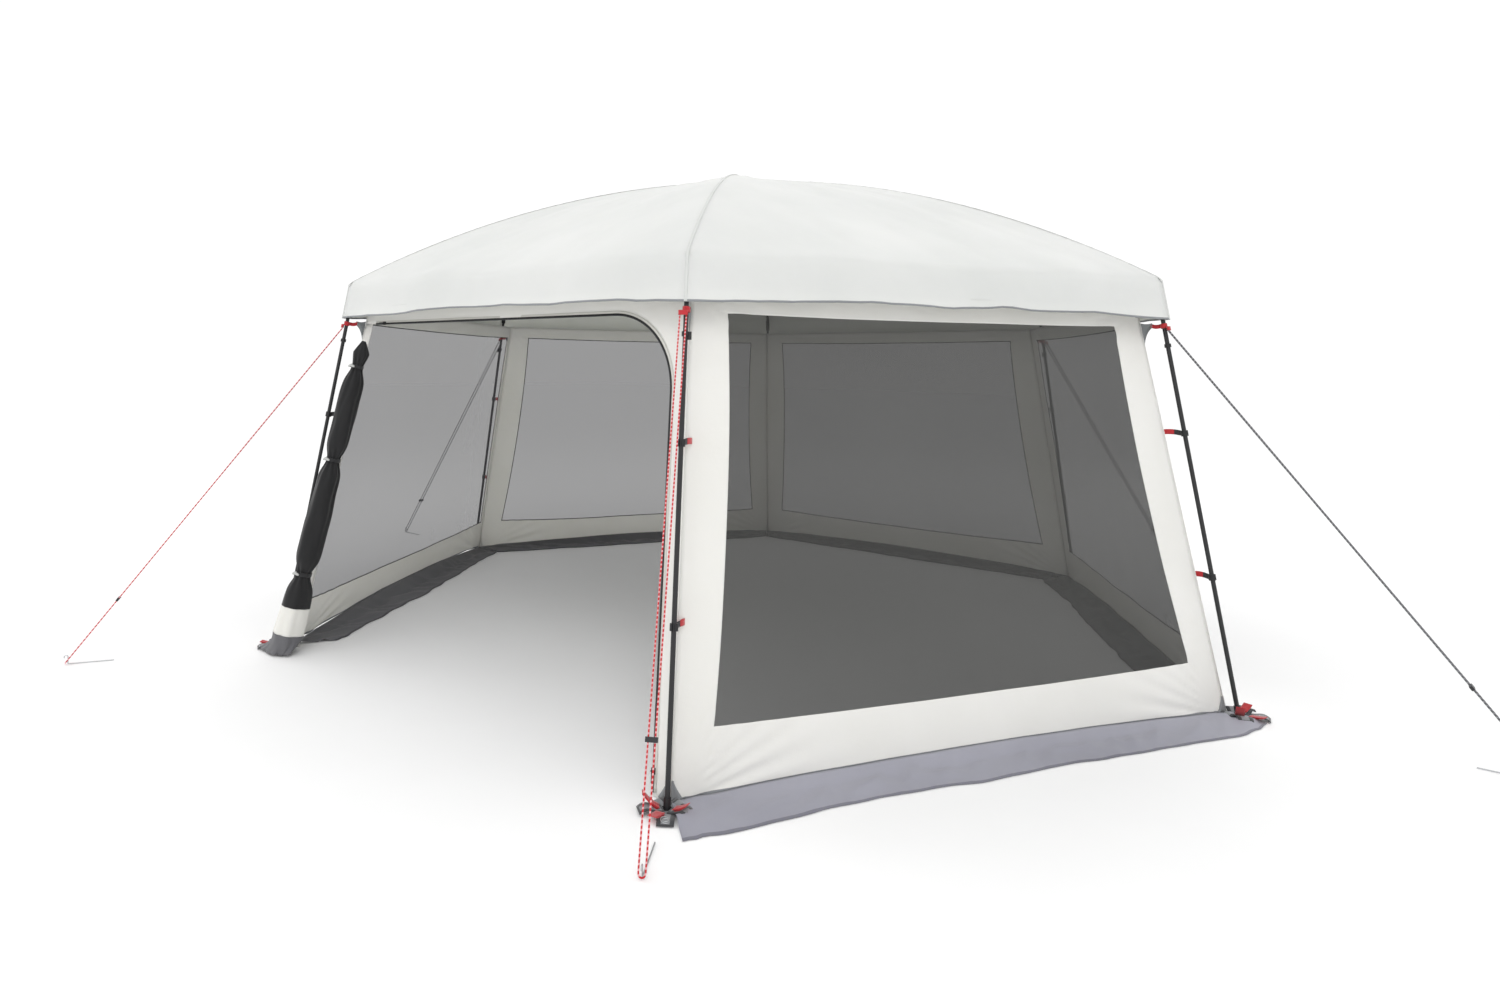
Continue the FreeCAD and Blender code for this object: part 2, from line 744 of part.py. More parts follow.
def make_zip():
    """The door's zip: a flat tape with a coil along it, round the door's upper right corner."""
    place = on_wall(WALLS["front"])
    tape_top, coil_top = zip_height()
    tape = zip_strip(S["tape_width"], S["tape_thickness"])
    coil = zip_strip(S["coil_width"], S["coil_height"])
    tape_place = place * Placement(Vector(0, 0, S["fabric_thickness"]), Rotation())
    coil_place = place * Placement(Vector(0, 0, tape_top), Rotation())
    group("door_zip", [feature("zip_tape", tape, tape_place), feature("zip_coil", coil, coil_place)])


def slider_places():
    """Where the two sliders are parked, with Y along the zip and Z outwards."""
    line = zip_line(0)
    wall = on_wall(WALLS["front"])
    tape_top = zip_height()[0]
    gap = S["slider_clearance"]
    slant = math.degrees(math.atan2(-line["along"].x, line["along"].y))
    low = line["bottom"] + line["along"] * S["side_park"]
    left = line["left_end"] + Vector(S["top_park"], 0, 0)
    side = wall * Placement(Vector(low.x, low.y, tape_top + gap), Rotation(Vector(0, 0, 1), slant))
    top = wall * Placement(Vector(left.x, left.y, tape_top + gap), Rotation(Vector(0, 0, 1), -90))
    return {"side": side, "top": top}


def make_sliders():
    """Each slider straddles the coil and carries a pin between two ears; the pull hangs on the pin."""
    gap = S["slider_clearance"]
    ear = 2
    ear_rise = 4.5
    pin_height = S["slider_height"] + ear_rise - ear
    tab_base = pin_height - S["pull_thickness"] / 2
    for name, place in slider_places().items():
        length = S["slider_length"]
        block = bound(
            "Part::Box",
            "slider_block_" + name,
            place * Placement(Vector(-S["slider_width"] / 2, -length / 2, 0), Rotation()),
            Length="Sizes.slider_width",
            Width="Sizes.slider_length",
            Height="Sizes.slider_height",
        )
        channel = bound(
            "Part::Box",
            "slider_channel_" + name,
            place * Placement(Vector(-S["coil_width"] / 2 - gap, -length, -gap), Rotation()),
            Length="Sizes.coil_width + 2 * Sizes.slider_clearance",
            Width="2 * Sizes.slider_length",
            Height="Sizes.coil_height + Sizes.slider_clearance",
        )
        inside = S["pull_width"] / 2 + gap
        ears = []
        for side in (-inside - ear, inside):
            ears.append(
                bound(
                    "Part::Box",
                    f"slider_ear_{name}_{len(ears)}",
                    place * Placement(Vector(side, -ear, S["slider_height"]), Rotation()),
                    Length=str(ear),
                    Width=str(2 * ear),
                    Height=str(ear_rise),
                )
            )
        pin = bound(
            "Part::Cylinder",
            "slider_pin_" + name,
            place * Placement(Vector(-inside - ear, 0, pin_height), Rotation(Vector(0, 1, 0), 90)),
            Radius="Sizes.bail_radius",
            Height=f"Sizes.pull_width + 2 * Sizes.slider_clearance + {2 * ear}",
        )
        open_block = boolean("cut", "slider_open_" + name, block, [channel])
        keep("zip_slider_" + name, boolean("fuse", "slider_" + name, open_block, ears + [pin]))
        tab = bound(
            "Part::Box",
            "pull_tab_" + name,
            place * Placement(Vector(-S["pull_width"] / 2, -S["pull_length"], tab_base), Rotation()),
            Length="Sizes.pull_width",
            Width="Sizes.pull_length",
            Height="Sizes.pull_thickness",
        )
        across = place * Placement(Vector(-S["pull_width"] / 2, 0, pin_height), Rotation(Vector(0, 1, 0), 90))
        eye = bound(
            "Part::Cylinder",
            "pull_eye_" + name,
            across,
            Radius="2 * Sizes.bail_radius",
            Height="Sizes.pull_width",
        )
        hole = bound(
            "Part::Cylinder",
            "pull_hole_" + name,
            across * Placement(Vector(0, 0, -1), Rotation()),
            Radius="Sizes.bail_radius + Sizes.bail_clearance",
            Height="Sizes.pull_width + 2",
        )
        solid = boolean("fuse", "pull_solid_" + name, tab, [eye])
        keep("zip_pull_" + name, boolean("cut", "pull_" + name, solid, [hole]))
        axis = place.Rotation.multVec(Vector(1, 0, 0))
        centre = place.multVec(Vector(0, 0, pin_height))
        print("slider", name, "pin at", [round(c / 1000, 5) for c in centre], end=" ")
        print("axis", [round(c, 5) for c in axis])
        travel = place.Rotation.multVec(Vector(0, 1, 0))
        print("slider", name, "travels along", [round(c, 5) for c in travel])


# ---------------------------------------------------------------- rolled door


def roll_axis():
    """The rolled door's axis in the door wall's frame: a point on it at a distance up the wall."""
    inset = 85
    near_wall = 42
    away = 84
    top = S["zip_top"] - 90

    def point(up):
        share = up / top
        return Vector(inset - half_width(up), up, away + (near_wall - away) * share)

    return point, top


def make_roll():
    """The door's panel rolled up along its hinge side: mesh, then its band, then its skirt on the ground."""
    point, top = roll_axis()
    band_top = 190
    band_foot = 72
    skirt_foot = 22
    wall = on_wall(WALLS["front"])
    down = (point(0) - point(top)).normalize()
    turn = Rotation(Vector(0, 0, 1), down)
    flare = 1.06
    tail_base = 7
    tail_height = 14
    tail_right = 151 - S["wall_foot_radius"] / 2
    tail_front = -S["tab_reach"] * APOTHEM - S["tab_width"] / 4
    foot = "Sizes.roll_foot_radius"
    sections = [
        ("door_roll_mesh", top, band_top, "Sizes.roll_top_radius", foot),
        ("door_roll_band", band_top, band_foot, foot, f"{foot} * {flare}"),
        ("door_roll_skirt", band_foot, skirt_foot, foot, f"{foot} * {flare}"),
    ]
    for node, high, low, upper_radius, lower_radius in sections:
        piece = bound(
            "Part::Cone",
            node + "_solid",
            wall * Placement(point(high), turn),
            Radius1=upper_radius,
            Radius2=lower_radius,
        )
        piece.Height = (point(low) - point(high)).Length
        if node == "door_roll_skirt":
            tail = bound(
                "Part::Box",
                "door_skirt_tail",
                at_corner(0, tail_right - S["tail_width"], tail_front, tail_base),
                Length="Sizes.tail_width",
                Width="Sizes.tail_depth",
            )
            tail.Height = tail_height
            piece = group(node, [piece, tail])
        else:
            keep(node, piece)
    ties = []
    slack = 1.5
    for number, up in enumerate((top - 110, top - 540, 345)):
        share = (top - up) / (top - band_top)
        radius = S["roll_top_radius"] + (S["roll_foot_radius"] - S["roll_top_radius"]) * share + slack
        centre = wall * Placement(point(up), turn)
        ring = bound("Part::Cylinder", f"tie_ring_{number}", centre, Height="Sizes.strap_width")
        ring.Radius = radius + S["strap_thickness"]
        hole = bound(
            "Part::Cylinder",
            f"tie_hole_{number}",
            centre * Placement(Vector(0, 0, -1), Rotation()),
            Height="Sizes.strap_width + 2",
        )
        hole.Radius = radius
        ties.append(boolean("cut", f"tie_{number}", ring, [hole]))
    group("roll_ties", ties)


# ---------------------------------------------------------------- corner hardware


def make_clips():
    """Two snap clips on each leg, and the webbing that ties each to the walls' corner seam."""
    clips = []
    straps = []
    bore_gap = "Sizes.leg_diameter / 2 + Sizes.socket_clearance"
    for corner, angle in CORNERS.items():
        for level in ("high", "low"):
            height = S["clip_" + level]
            low_end = on_leg(angle, height - S["clip_height"] / 2 * leg_up.z)
            ring = bound(
                "Part::Cylinder",
                f"clip_ring_{corner}_{level}",
                low_end,
                Radius="Sizes.clip_radius",
                Height="Sizes.clip_height",
            )
            bore = bound(
                "Part::Cylinder",
                f"clip_bore_{corner}_{level}",
                low_end * Placement(Vector(0, 0, -1), Rotation()),
                Radius=bore_gap,
                Height="Sizes.clip_height + 2",
            )
            mouth = bound(
                "Part::Box",
                f"clip_mouth_{corner}_{level}",
                low_end * Placement(Vector(0, -S["clip_mouth"] / 2, -1), Rotation()),
                Length="2 * Sizes.clip_radius",
                Width="Sizes.clip_mouth",
                Height="Sizes.clip_height + 2",
            )
            clips.append(boolean("cut", f"clip_{corner}_{level}", ring, [bore, mouth]))
            start = wall_radius(height) + 2 * S["strap_thickness"]
            reach = leg_radius(height) - S["clip_radius"] / leg_up.z - start
            reach -= S["strap_width"] / 2 * math.tan(math.radians(leg_lean))
            strap = bound(
                "Part::Box",
                f"clip_strap_{corner}_{level}",
                at_corner(angle, start, -S["strap_thickness"] / 2, height - S["strap_width"] / 2),
                Width="Sizes.strap_thickness",
                Height="Sizes.strap_width",
            )
            strap.Length = reach - S["socket_clearance"]
            straps.append(strap)
    group("pole_clips", clips)
    group("clip_straps", straps)


def make_eave_hardware():
    """At the eave: a gusset from the walls' corner, a strap round the pole that takes the line, a hook."""
    gussets = []
    straps = []
    hooks = []
    strap_height = S["eave_height"] - 30
    ring_height = 26
    hook_height = S["eave_height"] - 115
    gusset_foot = S["eave_height"] - 100
    gusset_top = S["eave_height"] - 18
    tip = 18
    upright = Rotation(Vector(1, 0, 0), 90) * Rotation(Vector(0, 0, 1), -90)
    gusset_reach = leg_radius(gusset_top) - 40
    for corner, angle in CORNERS.items():
        start = wall_radius(gusset_foot) + 2 * S["strap_thickness"]
        gusset = bound(
            "Part::Wedge",
            "gusset_" + corner,
            at_corner(angle, start, S["strap_thickness"] / 2, gusset_top, upright),
            Xmin="0",
            X2min="0",
            Ymin="0",
            Zmin="0",
            Z2min="0",
            Zmax="Sizes.strap_thickness",
            Z2max="Sizes.strap_thickness",
        )
        gusset.Xmax = gusset_top - gusset_foot
        gusset.X2max = tip
        gusset.Ymax = gusset_reach - start
        gussets.append(gusset)

        low_end = on_leg(angle, strap_height - ring_height / 2 * leg_up.z)
        ring = bound("Part::Cylinder", "eave_ring_" + corner, low_end, Radius="Sizes.clip_radius")
        ring.Height = ring_height
        bore = bound(
            "Part::Cylinder",
            "eave_bore_" + corner,
            low_end * Placement(Vector(0, 0, -1), Rotation()),
            Radius="Sizes.leg_diameter / 2 + Sizes.socket_clearance",
        )
        bore.Height = ring_height + 2
        inner_end = gusset_reach + S["socket_clearance"]
        tongue = bound(
            "Part::Box",
            "eave_tongue_" + corner,
            at_corner(angle, inner_end, -S["strap_thickness"] / 2, strap_height - tip / 2),
            Width="Sizes.strap_thickness",
        )
        tongue.Length = leg_radius(strap_height) - S["leg_diameter"] / 2 - 1 - inner_end
        tongue.Height = tip
        ear_reach = leg_radius(strap_height) + S["clip_radius"] - 2
        ear = at_corner(angle, ear_reach, -30, strap_height - ring_height / 2)
        plate = bound("Part::Box", "eave_ear_" + corner, ear)
        plate.Length = 6
        plate.Width = 42
        plate.Height = ring_height
        solid = boolean("fuse", "eave_solid_" + corner, ring, [tongue, plate])
        straps.append(boolean("cut", "eave_strap_" + corner, solid, [bore]))

        hook_place = on_leg(angle, hook_height)
        collar = bound("Part::Cylinder", "hook_collar_" + corner, hook_place, Radius="Sizes.clip_radius - 1")
        collar.Height = 14
        lug = bound("Part::Box", "hook_lug_" + corner, hook_place * Placement(Vector(-3, 8, -12), Rotation()))
        lug.Length = 6
        lug.Width = 12
        lug.Height = 26
        hook_bore = bound(
            "Part::Cylinder",
            "hook_bore_" + corner,
            hook_place * Placement(Vector(0, 0, -20), Rotation()),
            Radius="Sizes.leg_diameter / 2 + Sizes.socket_clearance",
        )
        hook_bore.Height = 40
        hook = boolean("fuse", "hook_solid_" + corner, collar, [lug])
        hooks.append(boolean("cut", "hook_" + corner, hook, [hook_bore]))
    group("corner_gussets", gussets)
    group("eave_straps", straps)
    group("eave_hooks", hooks)


def make_foot_hardware():
    """At each foot: a webbing patch round the foot cap with an eyelet for a ground peg, and two red loops."""
    tabs = []
    loops = []
    half = S["tab_width"] / 2
    inner = S["wall_foot_radius"] + 8
    outer = S["tab_reach"]
    eyelet_radius = 6
    eyelet_at = S["foot_radius"] + 62
    lift = S["fabric_thickness"] + S["socket_clearance"]
    for corner, angle in CORNERS.items():
        patch = bound("Part::Box", "tab_patch_" + corner, at_corner(angle, inner, -half, lift))
        patch.Length = outer - inner
        patch.Width = 2 * half
        patch.setExpression("Height", "Sizes.fabric_thickness")
        seat = bound(
            "Part::Cylinder",
            "tab_seat_" + corner,
            at_corner(angle, leg_radius(lift), 0, 0),
            Radius="Sizes.cap_radius + 1.5",
            Height="20",
        )
        eyelet_place = at_corner(angle, eyelet_at, 0, 0)
        eyelet = bound("Part::Cylinder", "tab_eyelet_" + corner, eyelet_place, Height="20")
        eyelet.Radius = eyelet_radius
        tabs.append(boolean("cut", "tab_" + corner, patch, [seat, eyelet]))
        for side in (-1, 1):
            on_patch = lift + S["fabric_thickness"] + S["socket_clearance"]
            place = at_corner(angle, S["foot_radius"], 0, on_patch)
            place = place * Placement(Vector(), Rotation(Vector(0, 0, 1), side * 45))
            loop = bound(
                "Part::Box",
                f"foot_loop_{corner}_{side}",
                place * Placement(Vector(18, -S["strap_width"] / 2, 0), Rotation()),
                Width="Sizes.strap_width",
                Height="Sizes.strap_thickness",
            )
            loop.Length = 44
            loops.append(loop)
    group("foot_tabs", tabs)
    group("foot_loops", loops)


# ---------------------------------------------------------------- guy lines

# A line runs from the eave strap down round its peg and back up to the strap. Its points are in the
# corner's own frame: radius, side and height in millimetres.
def line_points(peg_radius):
    """The four points of a line's route: two at the eave strap and two round its peg."""
    top = S["eave_height"] - 45
    inner = S["eave_radius"] + 20
    outer = peg_radius + 9.5
    return [(inner, 6, top), (outer, 9.5, 6), (outer, -9.5, 6), (inner, -24, top)]


FAR_LINE = line_points(S["peg_radius_far"])
NEAR_LINE = line_points(S["peg_radius_near"])


def guy_route(corner):
    return [Vector(*point) for point in (NEAR_LINE if corner == "front_right" else FAR_LINE)]


def make_guy_lines():
    """One line of two strands at each corner, a runner on them and a wire peg at their end."""
    pegs = []
    for corner, angle in CORNERS.items():
        route = guy_route(corner)
        wire, radii = rounded_wire(route, cord_radius)
        tube = tube_along(wire, S["guy_diameter"])
        plain = math.pi * S["guy_diameter"] ** 2 / 4 * wire.Length
        print(f"guy_line_{corner}: length {wire.Length:.0f}, radii {[round(r, 1) for r in radii]},", end=" ")
        print(f"volume {tube.Volume / plain:.4f} of section times length, lowest {tube.BoundBox.ZMin:.2f}")
        keep("guy_line_" + corner, feature("line_" + corner, tube, at_corner(angle, 0, 0, 0)))

        top = (route[0] + route[3]) * 0.5
        foot = (route[1] + route[2]) * 0.5
        direction = (top - foot).normalize()
        half_block = Vector(S["runner_width"], S["runner_thickness"], S["runner_length"]) * 0.5
        distance = 320
        centre = foot + direction * distance
        strand_gap = (route[0] - route[3]).y - (route[1] - route[2]).y
        spacing = (route[1] - route[2]).y + strand_gap * distance / (top - foot).Length
        across = Vector(0, 1, 0)
        across = (across - direction * across.dot(direction)).normalize()
        frame = Rotation(across, direction.cross(across), direction, "ZXY")
        place = at_corner(angle, centre.x, centre.y, centre.z, frame)
        block = bound(
            "Part::Box",
            "runner_block_" + corner,
            place * Placement(half_block * -1, Rotation()),
            Length="Sizes.runner_width",
            Width="Sizes.runner_thickness",
            Height="Sizes.runner_length",
        )
        slots = []
        slack = 0.5
        spread = 1.6
        for side in (-1, 1):
            slot_height = S["guy_diameter"] + 2 * slack
            slot_length = slot_height + 2 * spread
            corner_at = Vector(side * spacing / 2 - slot_length / 2, -slot_height / 2, -S["runner_length"])
            slot = bound(
                "Part::Box",
                f"runner_slot_{corner}_{side}",
                place * Placement(corner_at, Rotation()),
                Width=f"Sizes.guy_diameter + {2 * slack}",
                Height="2 * Sizes.runner_length",
            )
            slot.Length = slot_length
            slots.append(slot)
        keep("line_runner_" + corner, boolean("cut", "runner_" + corner, block, slots))
        axis = place.Rotation.multVec(Vector(0, 0, 1))
        print("runner", corner, "axis", [round(c, 5) for c in axis])

        radius = S["peg_radius_near"] if corner == "front_right" else S["peg_radius_far"]
        low = S["peg_wire"] / 2
        bend = [
            Vector(radius - 170, 0, low),
            Vector(radius, 0, low),
            Vector(radius, 0, 36),
            Vector(radius + 14, 0, 36),
            Vector(radius + 14, 0, 26),
        ]
        shape = tube_along(rounded_wire(bend, lambda before, point, after: S["peg_wire"])[0], S["peg_wire"])
        pegs.append(feature("peg_" + corner, shape, at_corner(angle, 0, 0, 0)))
    group("guy_pegs", pegs)


make_legs()
make_foot_caps()
make_roof_poles()
make_elbows()
make_hub()
make_roof()
make_eave_band()
make_window_walls()
make_door_wall()
make_skirts()
make_zip()
make_sliders()
make_roll()
make_clips()
make_eave_hardware()
make_foot_hardware()
make_guy_lines()
doc.recompute()

for thing in doc.Objects:
    if "Invalid" in thing.State or "Error" in thing.State:
        raise RuntimeError(f"{thing.Label} is {thing.State}")
for node, thing in nodes.items():
    if thing.Shape.isNull() or not thing.Shape.isValid() or not thing.Shape.Solids:
        raise RuntimeError(f"{node} has no valid solid")
for node, thing in nodes.items():
    thing.Shape.exportStep(f"parts/{node}.step")
print(len(nodes), "nodes written")
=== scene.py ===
import math

import bmesh
import bpy
from mathutils import Matrix, Vector, noise


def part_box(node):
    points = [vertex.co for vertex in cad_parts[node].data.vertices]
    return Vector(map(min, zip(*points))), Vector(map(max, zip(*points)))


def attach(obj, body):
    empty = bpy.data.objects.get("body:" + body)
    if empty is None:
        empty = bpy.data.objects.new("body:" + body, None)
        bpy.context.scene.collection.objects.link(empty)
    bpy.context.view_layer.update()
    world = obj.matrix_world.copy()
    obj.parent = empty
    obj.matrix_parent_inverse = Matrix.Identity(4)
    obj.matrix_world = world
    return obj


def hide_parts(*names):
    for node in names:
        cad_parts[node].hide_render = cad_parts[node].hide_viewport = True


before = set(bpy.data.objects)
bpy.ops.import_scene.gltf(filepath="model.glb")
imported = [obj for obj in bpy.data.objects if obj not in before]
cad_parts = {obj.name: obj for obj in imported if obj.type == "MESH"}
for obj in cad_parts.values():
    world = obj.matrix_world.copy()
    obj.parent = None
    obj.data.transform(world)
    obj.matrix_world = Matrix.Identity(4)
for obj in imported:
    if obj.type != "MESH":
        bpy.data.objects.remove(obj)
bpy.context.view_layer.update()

# ---------------------------------------------------------------- camera, floor and light
# A person's eye height, a little right of the front corner, looking across the door to the far wall.

lens_mm = 21.62
camera_data = bpy.data.cameras.new("viewer")
camera_data.lens = lens_mm
camera_data.sensor_width = 36.0
camera_data.shift_x = 0.0579
camera_data.shift_y = -0.0925
camera = bpy.data.objects.new("viewer", camera_data)
yaw = 2.2740
pitch = 0.0058
roll = 0.0113
ahead = Vector((math.cos(pitch) * math.cos(yaw), math.cos(pitch) * math.sin(yaw), math.sin(pitch)))
level = Vector((math.sin(yaw), -math.cos(yaw), 0))
above = level.cross(ahead)
across = level * math.cos(roll) + above * math.sin(roll)
upward = above * math.cos(roll) - level * math.sin(roll)
camera.matrix_world = Matrix.Translation((2.8187, -3.9957, 1.2875)) @ Matrix(
    (across, upward, -ahead)
).transposed().to_4x4()
bpy.context.scene.collection.objects.link(camera)
bpy.context.scene.camera = camera
bpy.context.scene.view_settings.view_transform = "Standard"


def linear(code):
    """An sRGB hex colour as linear red, green and blue with full alpha."""
    parts = [int(code[i:i + 2], 16) / 255 for i in (1, 3, 5)]
    return [c / 12.92 if c <= 0.04045 else ((c + 0.055) / 1.055) ** 2.4 for c in parts] + [1.0]


def node(tree, kind, links=(), **settings):
    """A shader node with its settings, and links given as (its input, other node, other's output)."""
    made = tree.nodes.new(kind)
    for key, value in settings.items():
        if hasattr(made, key):
            setattr(made, key, value)
        else:
            made.inputs[key.replace("_", " ")].default_value = value
    for into, source, out in links:
        tree.links.new(source.outputs[out], made.inputs[into])
    return made


def new_material(name):
    """A material with its tree, its one Principled shader and a source of Object coordinates."""
    material = bpy.data.materials.new(name)
    material.use_nodes = True
    tree = material.node_tree
    tree.nodes.clear()
    shader = node(tree, "ShaderNodeBsdfPrincipled")
    node(tree, "ShaderNodeOutputMaterial", [("Surface", shader, "BSDF")])
    place = node(tree, "ShaderNodeTexCoord")
    return material, tree, shader, place


def texture(tree, place, kind, **settings):
    """A texture of one kind on Object coordinates."""
    return node(tree, "ShaderNodeTex" + kind, [("Vector", place, "Object")], **settings)


def wave_scale(pitch):
    """The Wave texture's Scale for bands that repeat at a pitch in metres."""
    return 0.05 / pitch * 2 * math.pi


def two_tone(tree, source, first, second, start=0.0, stop=1.0):
    """A ramp from one linear colour to another over a texture's Fac."""
    ramp = node(tree, "ShaderNodeValToRGB", [("Fac", source, "Fac")])
    for element, colour, position in zip(ramp.color_ramp.elements, (first, second), (start, stop)):
        element.color = colour
        element.position = position
    return ramp


def tinted(code, share):
    """A hex colour made darker or lighter, as linear red, green and blue with full alpha."""
    return [min(1, c * share) for c in linear(code)[:3]] + [1]


def bump(tree, source, strength, distance, out="Fac", links=()):
    """Relief from a texture's output."""
    depth = {"Strength": strength, "Distance": distance}
    return node(tree, "ShaderNodeBump", [("Height", source, out), *links], **depth)


def finish_material(material, tree, shader, ramp, relief, **values):
    """Links a material's colour and relief, and sets its shader's other inputs."""
    tree.links.new(ramp.outputs["Color"], shader.inputs["Base Color"])
    tree.links.new(relief.outputs["Normal"], shader.inputs["Normal"])
    for key, value in values.items():
        shader.inputs[key.replace("_", " ")].default_value = value
    return material


def grid(mesh, columns, rows):
    """A unit grid's points, from -0.5 to 0.5 in X and Y, for a shape to move."""
    return bmesh.ops.create_grid(mesh, x_segments=columns, y_segments=rows, size=0.5)["verts"]


def faces_of(verts):
    """The faces on some points."""
    return {face for vertex in verts for face in vertex.link_faces}


def turn_about_crown(mesh, verts, degrees):
    """Turns points round the vertical axis through the crown."""
    bmesh.ops.rotate(mesh, verts=verts, cent=(0, 0, 0), matrix=Matrix.Rotation(math.radians(degrees), 3, "Z"))


def thicken(piece, thickness, offset=0):
    """Gives a sheet its thickness: half each way, or all inwards with offset -1."""
    shell = piece.modifiers.new("thickness", "SOLIDIFY")
    shell.thickness = thickness
    shell.offset = offset


def finish_mesh(name, mesh, materials, smooth=True):
    """An object made from a bmesh, at the origin."""
    bmesh.ops.recalc_face_normals(mesh, faces=mesh.faces)
    data = bpy.data.meshes.new(name)
    mesh.to_mesh(data)
    mesh.free()
    for material in materials:
        data.materials.append(material)
    if smooth:
        data.shade_smooth()
    piece = bpy.data.objects.new(name, data)
    bpy.context.scene.collection.objects.link(piece)
    return piece


floor_mesh = bmesh.new()
bmesh.ops.create_grid(floor_mesh, x_segments=1, y_segments=1, size=45)
bmesh.ops.translate(floor_mesh, vec=(0, 0, -0.001), verts=floor_mesh.verts)
floor_paint, tree, shader, place = new_material("matt studio floor")
speckle = texture(tree, place, "Noise", Scale=3.0, Detail=4.0)
shade = two_tone(tree, speckle, linear("#FCFCFC"), linear("#FFFFFF"))
tree.links.new(shade.outputs["Color"], shader.inputs["Base Color"])
shader.inputs["Roughness"].default_value = 0.85
floor = finish_mesh("studio_floor", floor_mesh, [floor_paint], smooth=False)

sky = bpy.data.worlds.new("soft studio")
sky.use_nodes = True
sky.node_tree.nodes["Background"].inputs["Color"].default_value = linear("#FFFFFF")
sky.node_tree.nodes["Background"].inputs["Strength"].default_value = 1.04
bpy.context.scene.world = sky

for lamp_name, spot, power, size in (
    ("main softbox", (4.5, -6.5, 7.0), 130, 4.0),
    ("side softbox", (-7.0, -3.0, 5.0), 60, 4.0),
    ("back softbox", (0.0, 7.5, 6.0), 60, 5.0),
):
    lamp_data = bpy.data.lights.new(lamp_name, "AREA")
    lamp_data.energy = power
    lamp_data.size = size
    lamp = bpy.data.objects.new(lamp_name, lamp_data)
    aim = (Vector((0, 0, 1.0)) - Vector(spot)).to_track_quat("-Z", "Y")
    lamp.matrix_world = Matrix.Translation(spot) @ aim.to_matrix().to_4x4()
    bpy.context.scene.collection.objects.link(lamp)

# ---------------------------------------------------------------- guy lines
# Braided cord, 5 mm, red and white at the two front corners and grey at the rest. Each is one length
# from the eave strap round its peg and back up, held taut, with a runner that sets the tension.

corner_angles = {
    "right": 0,
    "back_right": 60,
    "back_left": 120,
    "left": 180,
    "front_left": 240,
    "front_right": 300,
}
guy_diameter = 0.005
line_ends = ((2.040, 0.003, 1.455), (2.040, -0.018, 1.455))
far_peg = 3.1295
near_peg = 2.6495
peg_turn = 0.030
bend_saving = 0.006  # what the rounded bends at the peg take off the straight runs


def corner_place(corner):
    """A corner's own frame: X outwards from the crown, Y along the eave, Z up."""
    return Matrix.Rotation(math.radians(corner_angles[corner]), 4, "Z")


def candy_cord(name, stripe, ground):
    """Braided polyester cord: matt, with a diagonal tracer stripe and a coarse plait in relief."""
    material, tree, shader, place = new_material(name)
    stripe_pitch = 0.012
    spin = node(tree, "ShaderNodeMapping", [("Vector", place, "Object")])
    spin.inputs["Rotation"].default_value = (0.5, 0.5, 0)
    bands = node(
        tree,
        "ShaderNodeTexWave",
        [("Vector", spin, "Vector")],
        bands_direction="Z",
        Scale=wave_scale(stripe_pitch),
        Distortion=0.6,
    )
    ramp = two_tone(tree, bands, linear(stripe), linear(ground), 0.60, 0.68)
    plait = texture(tree, place, "Voronoi", Scale=700.0)
    relief = bump(tree, plait, 0.5, 0.0005, "Distance")
    return finish_material(material, tree, shader, ramp, relief, Roughness=0.75, Sheen_Weight=0.2)


red_cord = candy_cord("red and white braided cord", "#BE0D1B", "#E6A9AC")
grey_cord = candy_cord("grey braided cord", "#4A4A4D", "#8C8C90")
red_corners = ("front_right", "front_left")

for corner in corner_angles:
    peg = near_peg if corner == "front_right" else far_peg
    turn = corner_place(corner)
    route = (line_ends[0], (peg, 0.0095, 0.006), (peg, -0.0095, 0.006), line_ends[1])
    start, low_in, low_out, end = [turn @ Vector(point) for point in route]
    steps = [start]
    steps.append(low_in + (start - low_in).normalized() * peg_turn)
    steps.extend([low_in, low_out])
    steps.append(low_out + (end - low_out).normalized() * peg_turn)
    steps.append(end)
    curve = bpy.data.curves.new("rope_" + corner, "CURVE")
    curve.dimensions = "3D"
    curve.bevel_depth = guy_diameter / 2
    curve.bevel_resolution = 3
    curve.use_fill_caps = True
    spline = curve.splines.new("NURBS")
    spline.points.add(len(steps) - 1)
    for point, step in zip(spline.points, steps):
        point.co = (*step, 1)
    spline.order_u = 3
    spline.use_endpoint_u = True
    spline.resolution_u = 24
    curve.materials.append(red_cord if corner in red_corners else grey_cord)
    line = bpy.data.objects.new("rope_" + corner, curve)
    bpy.context.scene.collection.objects.link(line)
    length = sum((b - a).length for a, b in zip(steps, steps[1:])) - bend_saving
    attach(line, "house")
    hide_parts("guy_line_" + corner)

# ---------------------------------------------------------------- line runners and pegs
# The runner is a black moulded polyamide slide with two slots. The peg is bent from 4 mm zinc
# plated wire, lying with its hooked end up where the line goes round it.


def plastic(name, code, roughness):
    """Moulded plastic: one even colour broken by a fine spark-eroded grain."""
    material, tree, shader, place = new_material(name)
    grain = texture(tree, place, "Noise", Scale=900.0, Detail=3.0)
    cloud = texture(tree, place, "Noise", Scale=30.0, Detail=2.0)
    ramp = two_tone(tree, cloud, tinted(code, 0.86), tinted(code, 1.14))
    relief = bump(tree, grain, 0.25, 0.0003)
    return finish_material(material, tree, shader, ramp, relief, Roughness=roughness, IOR=1.49)


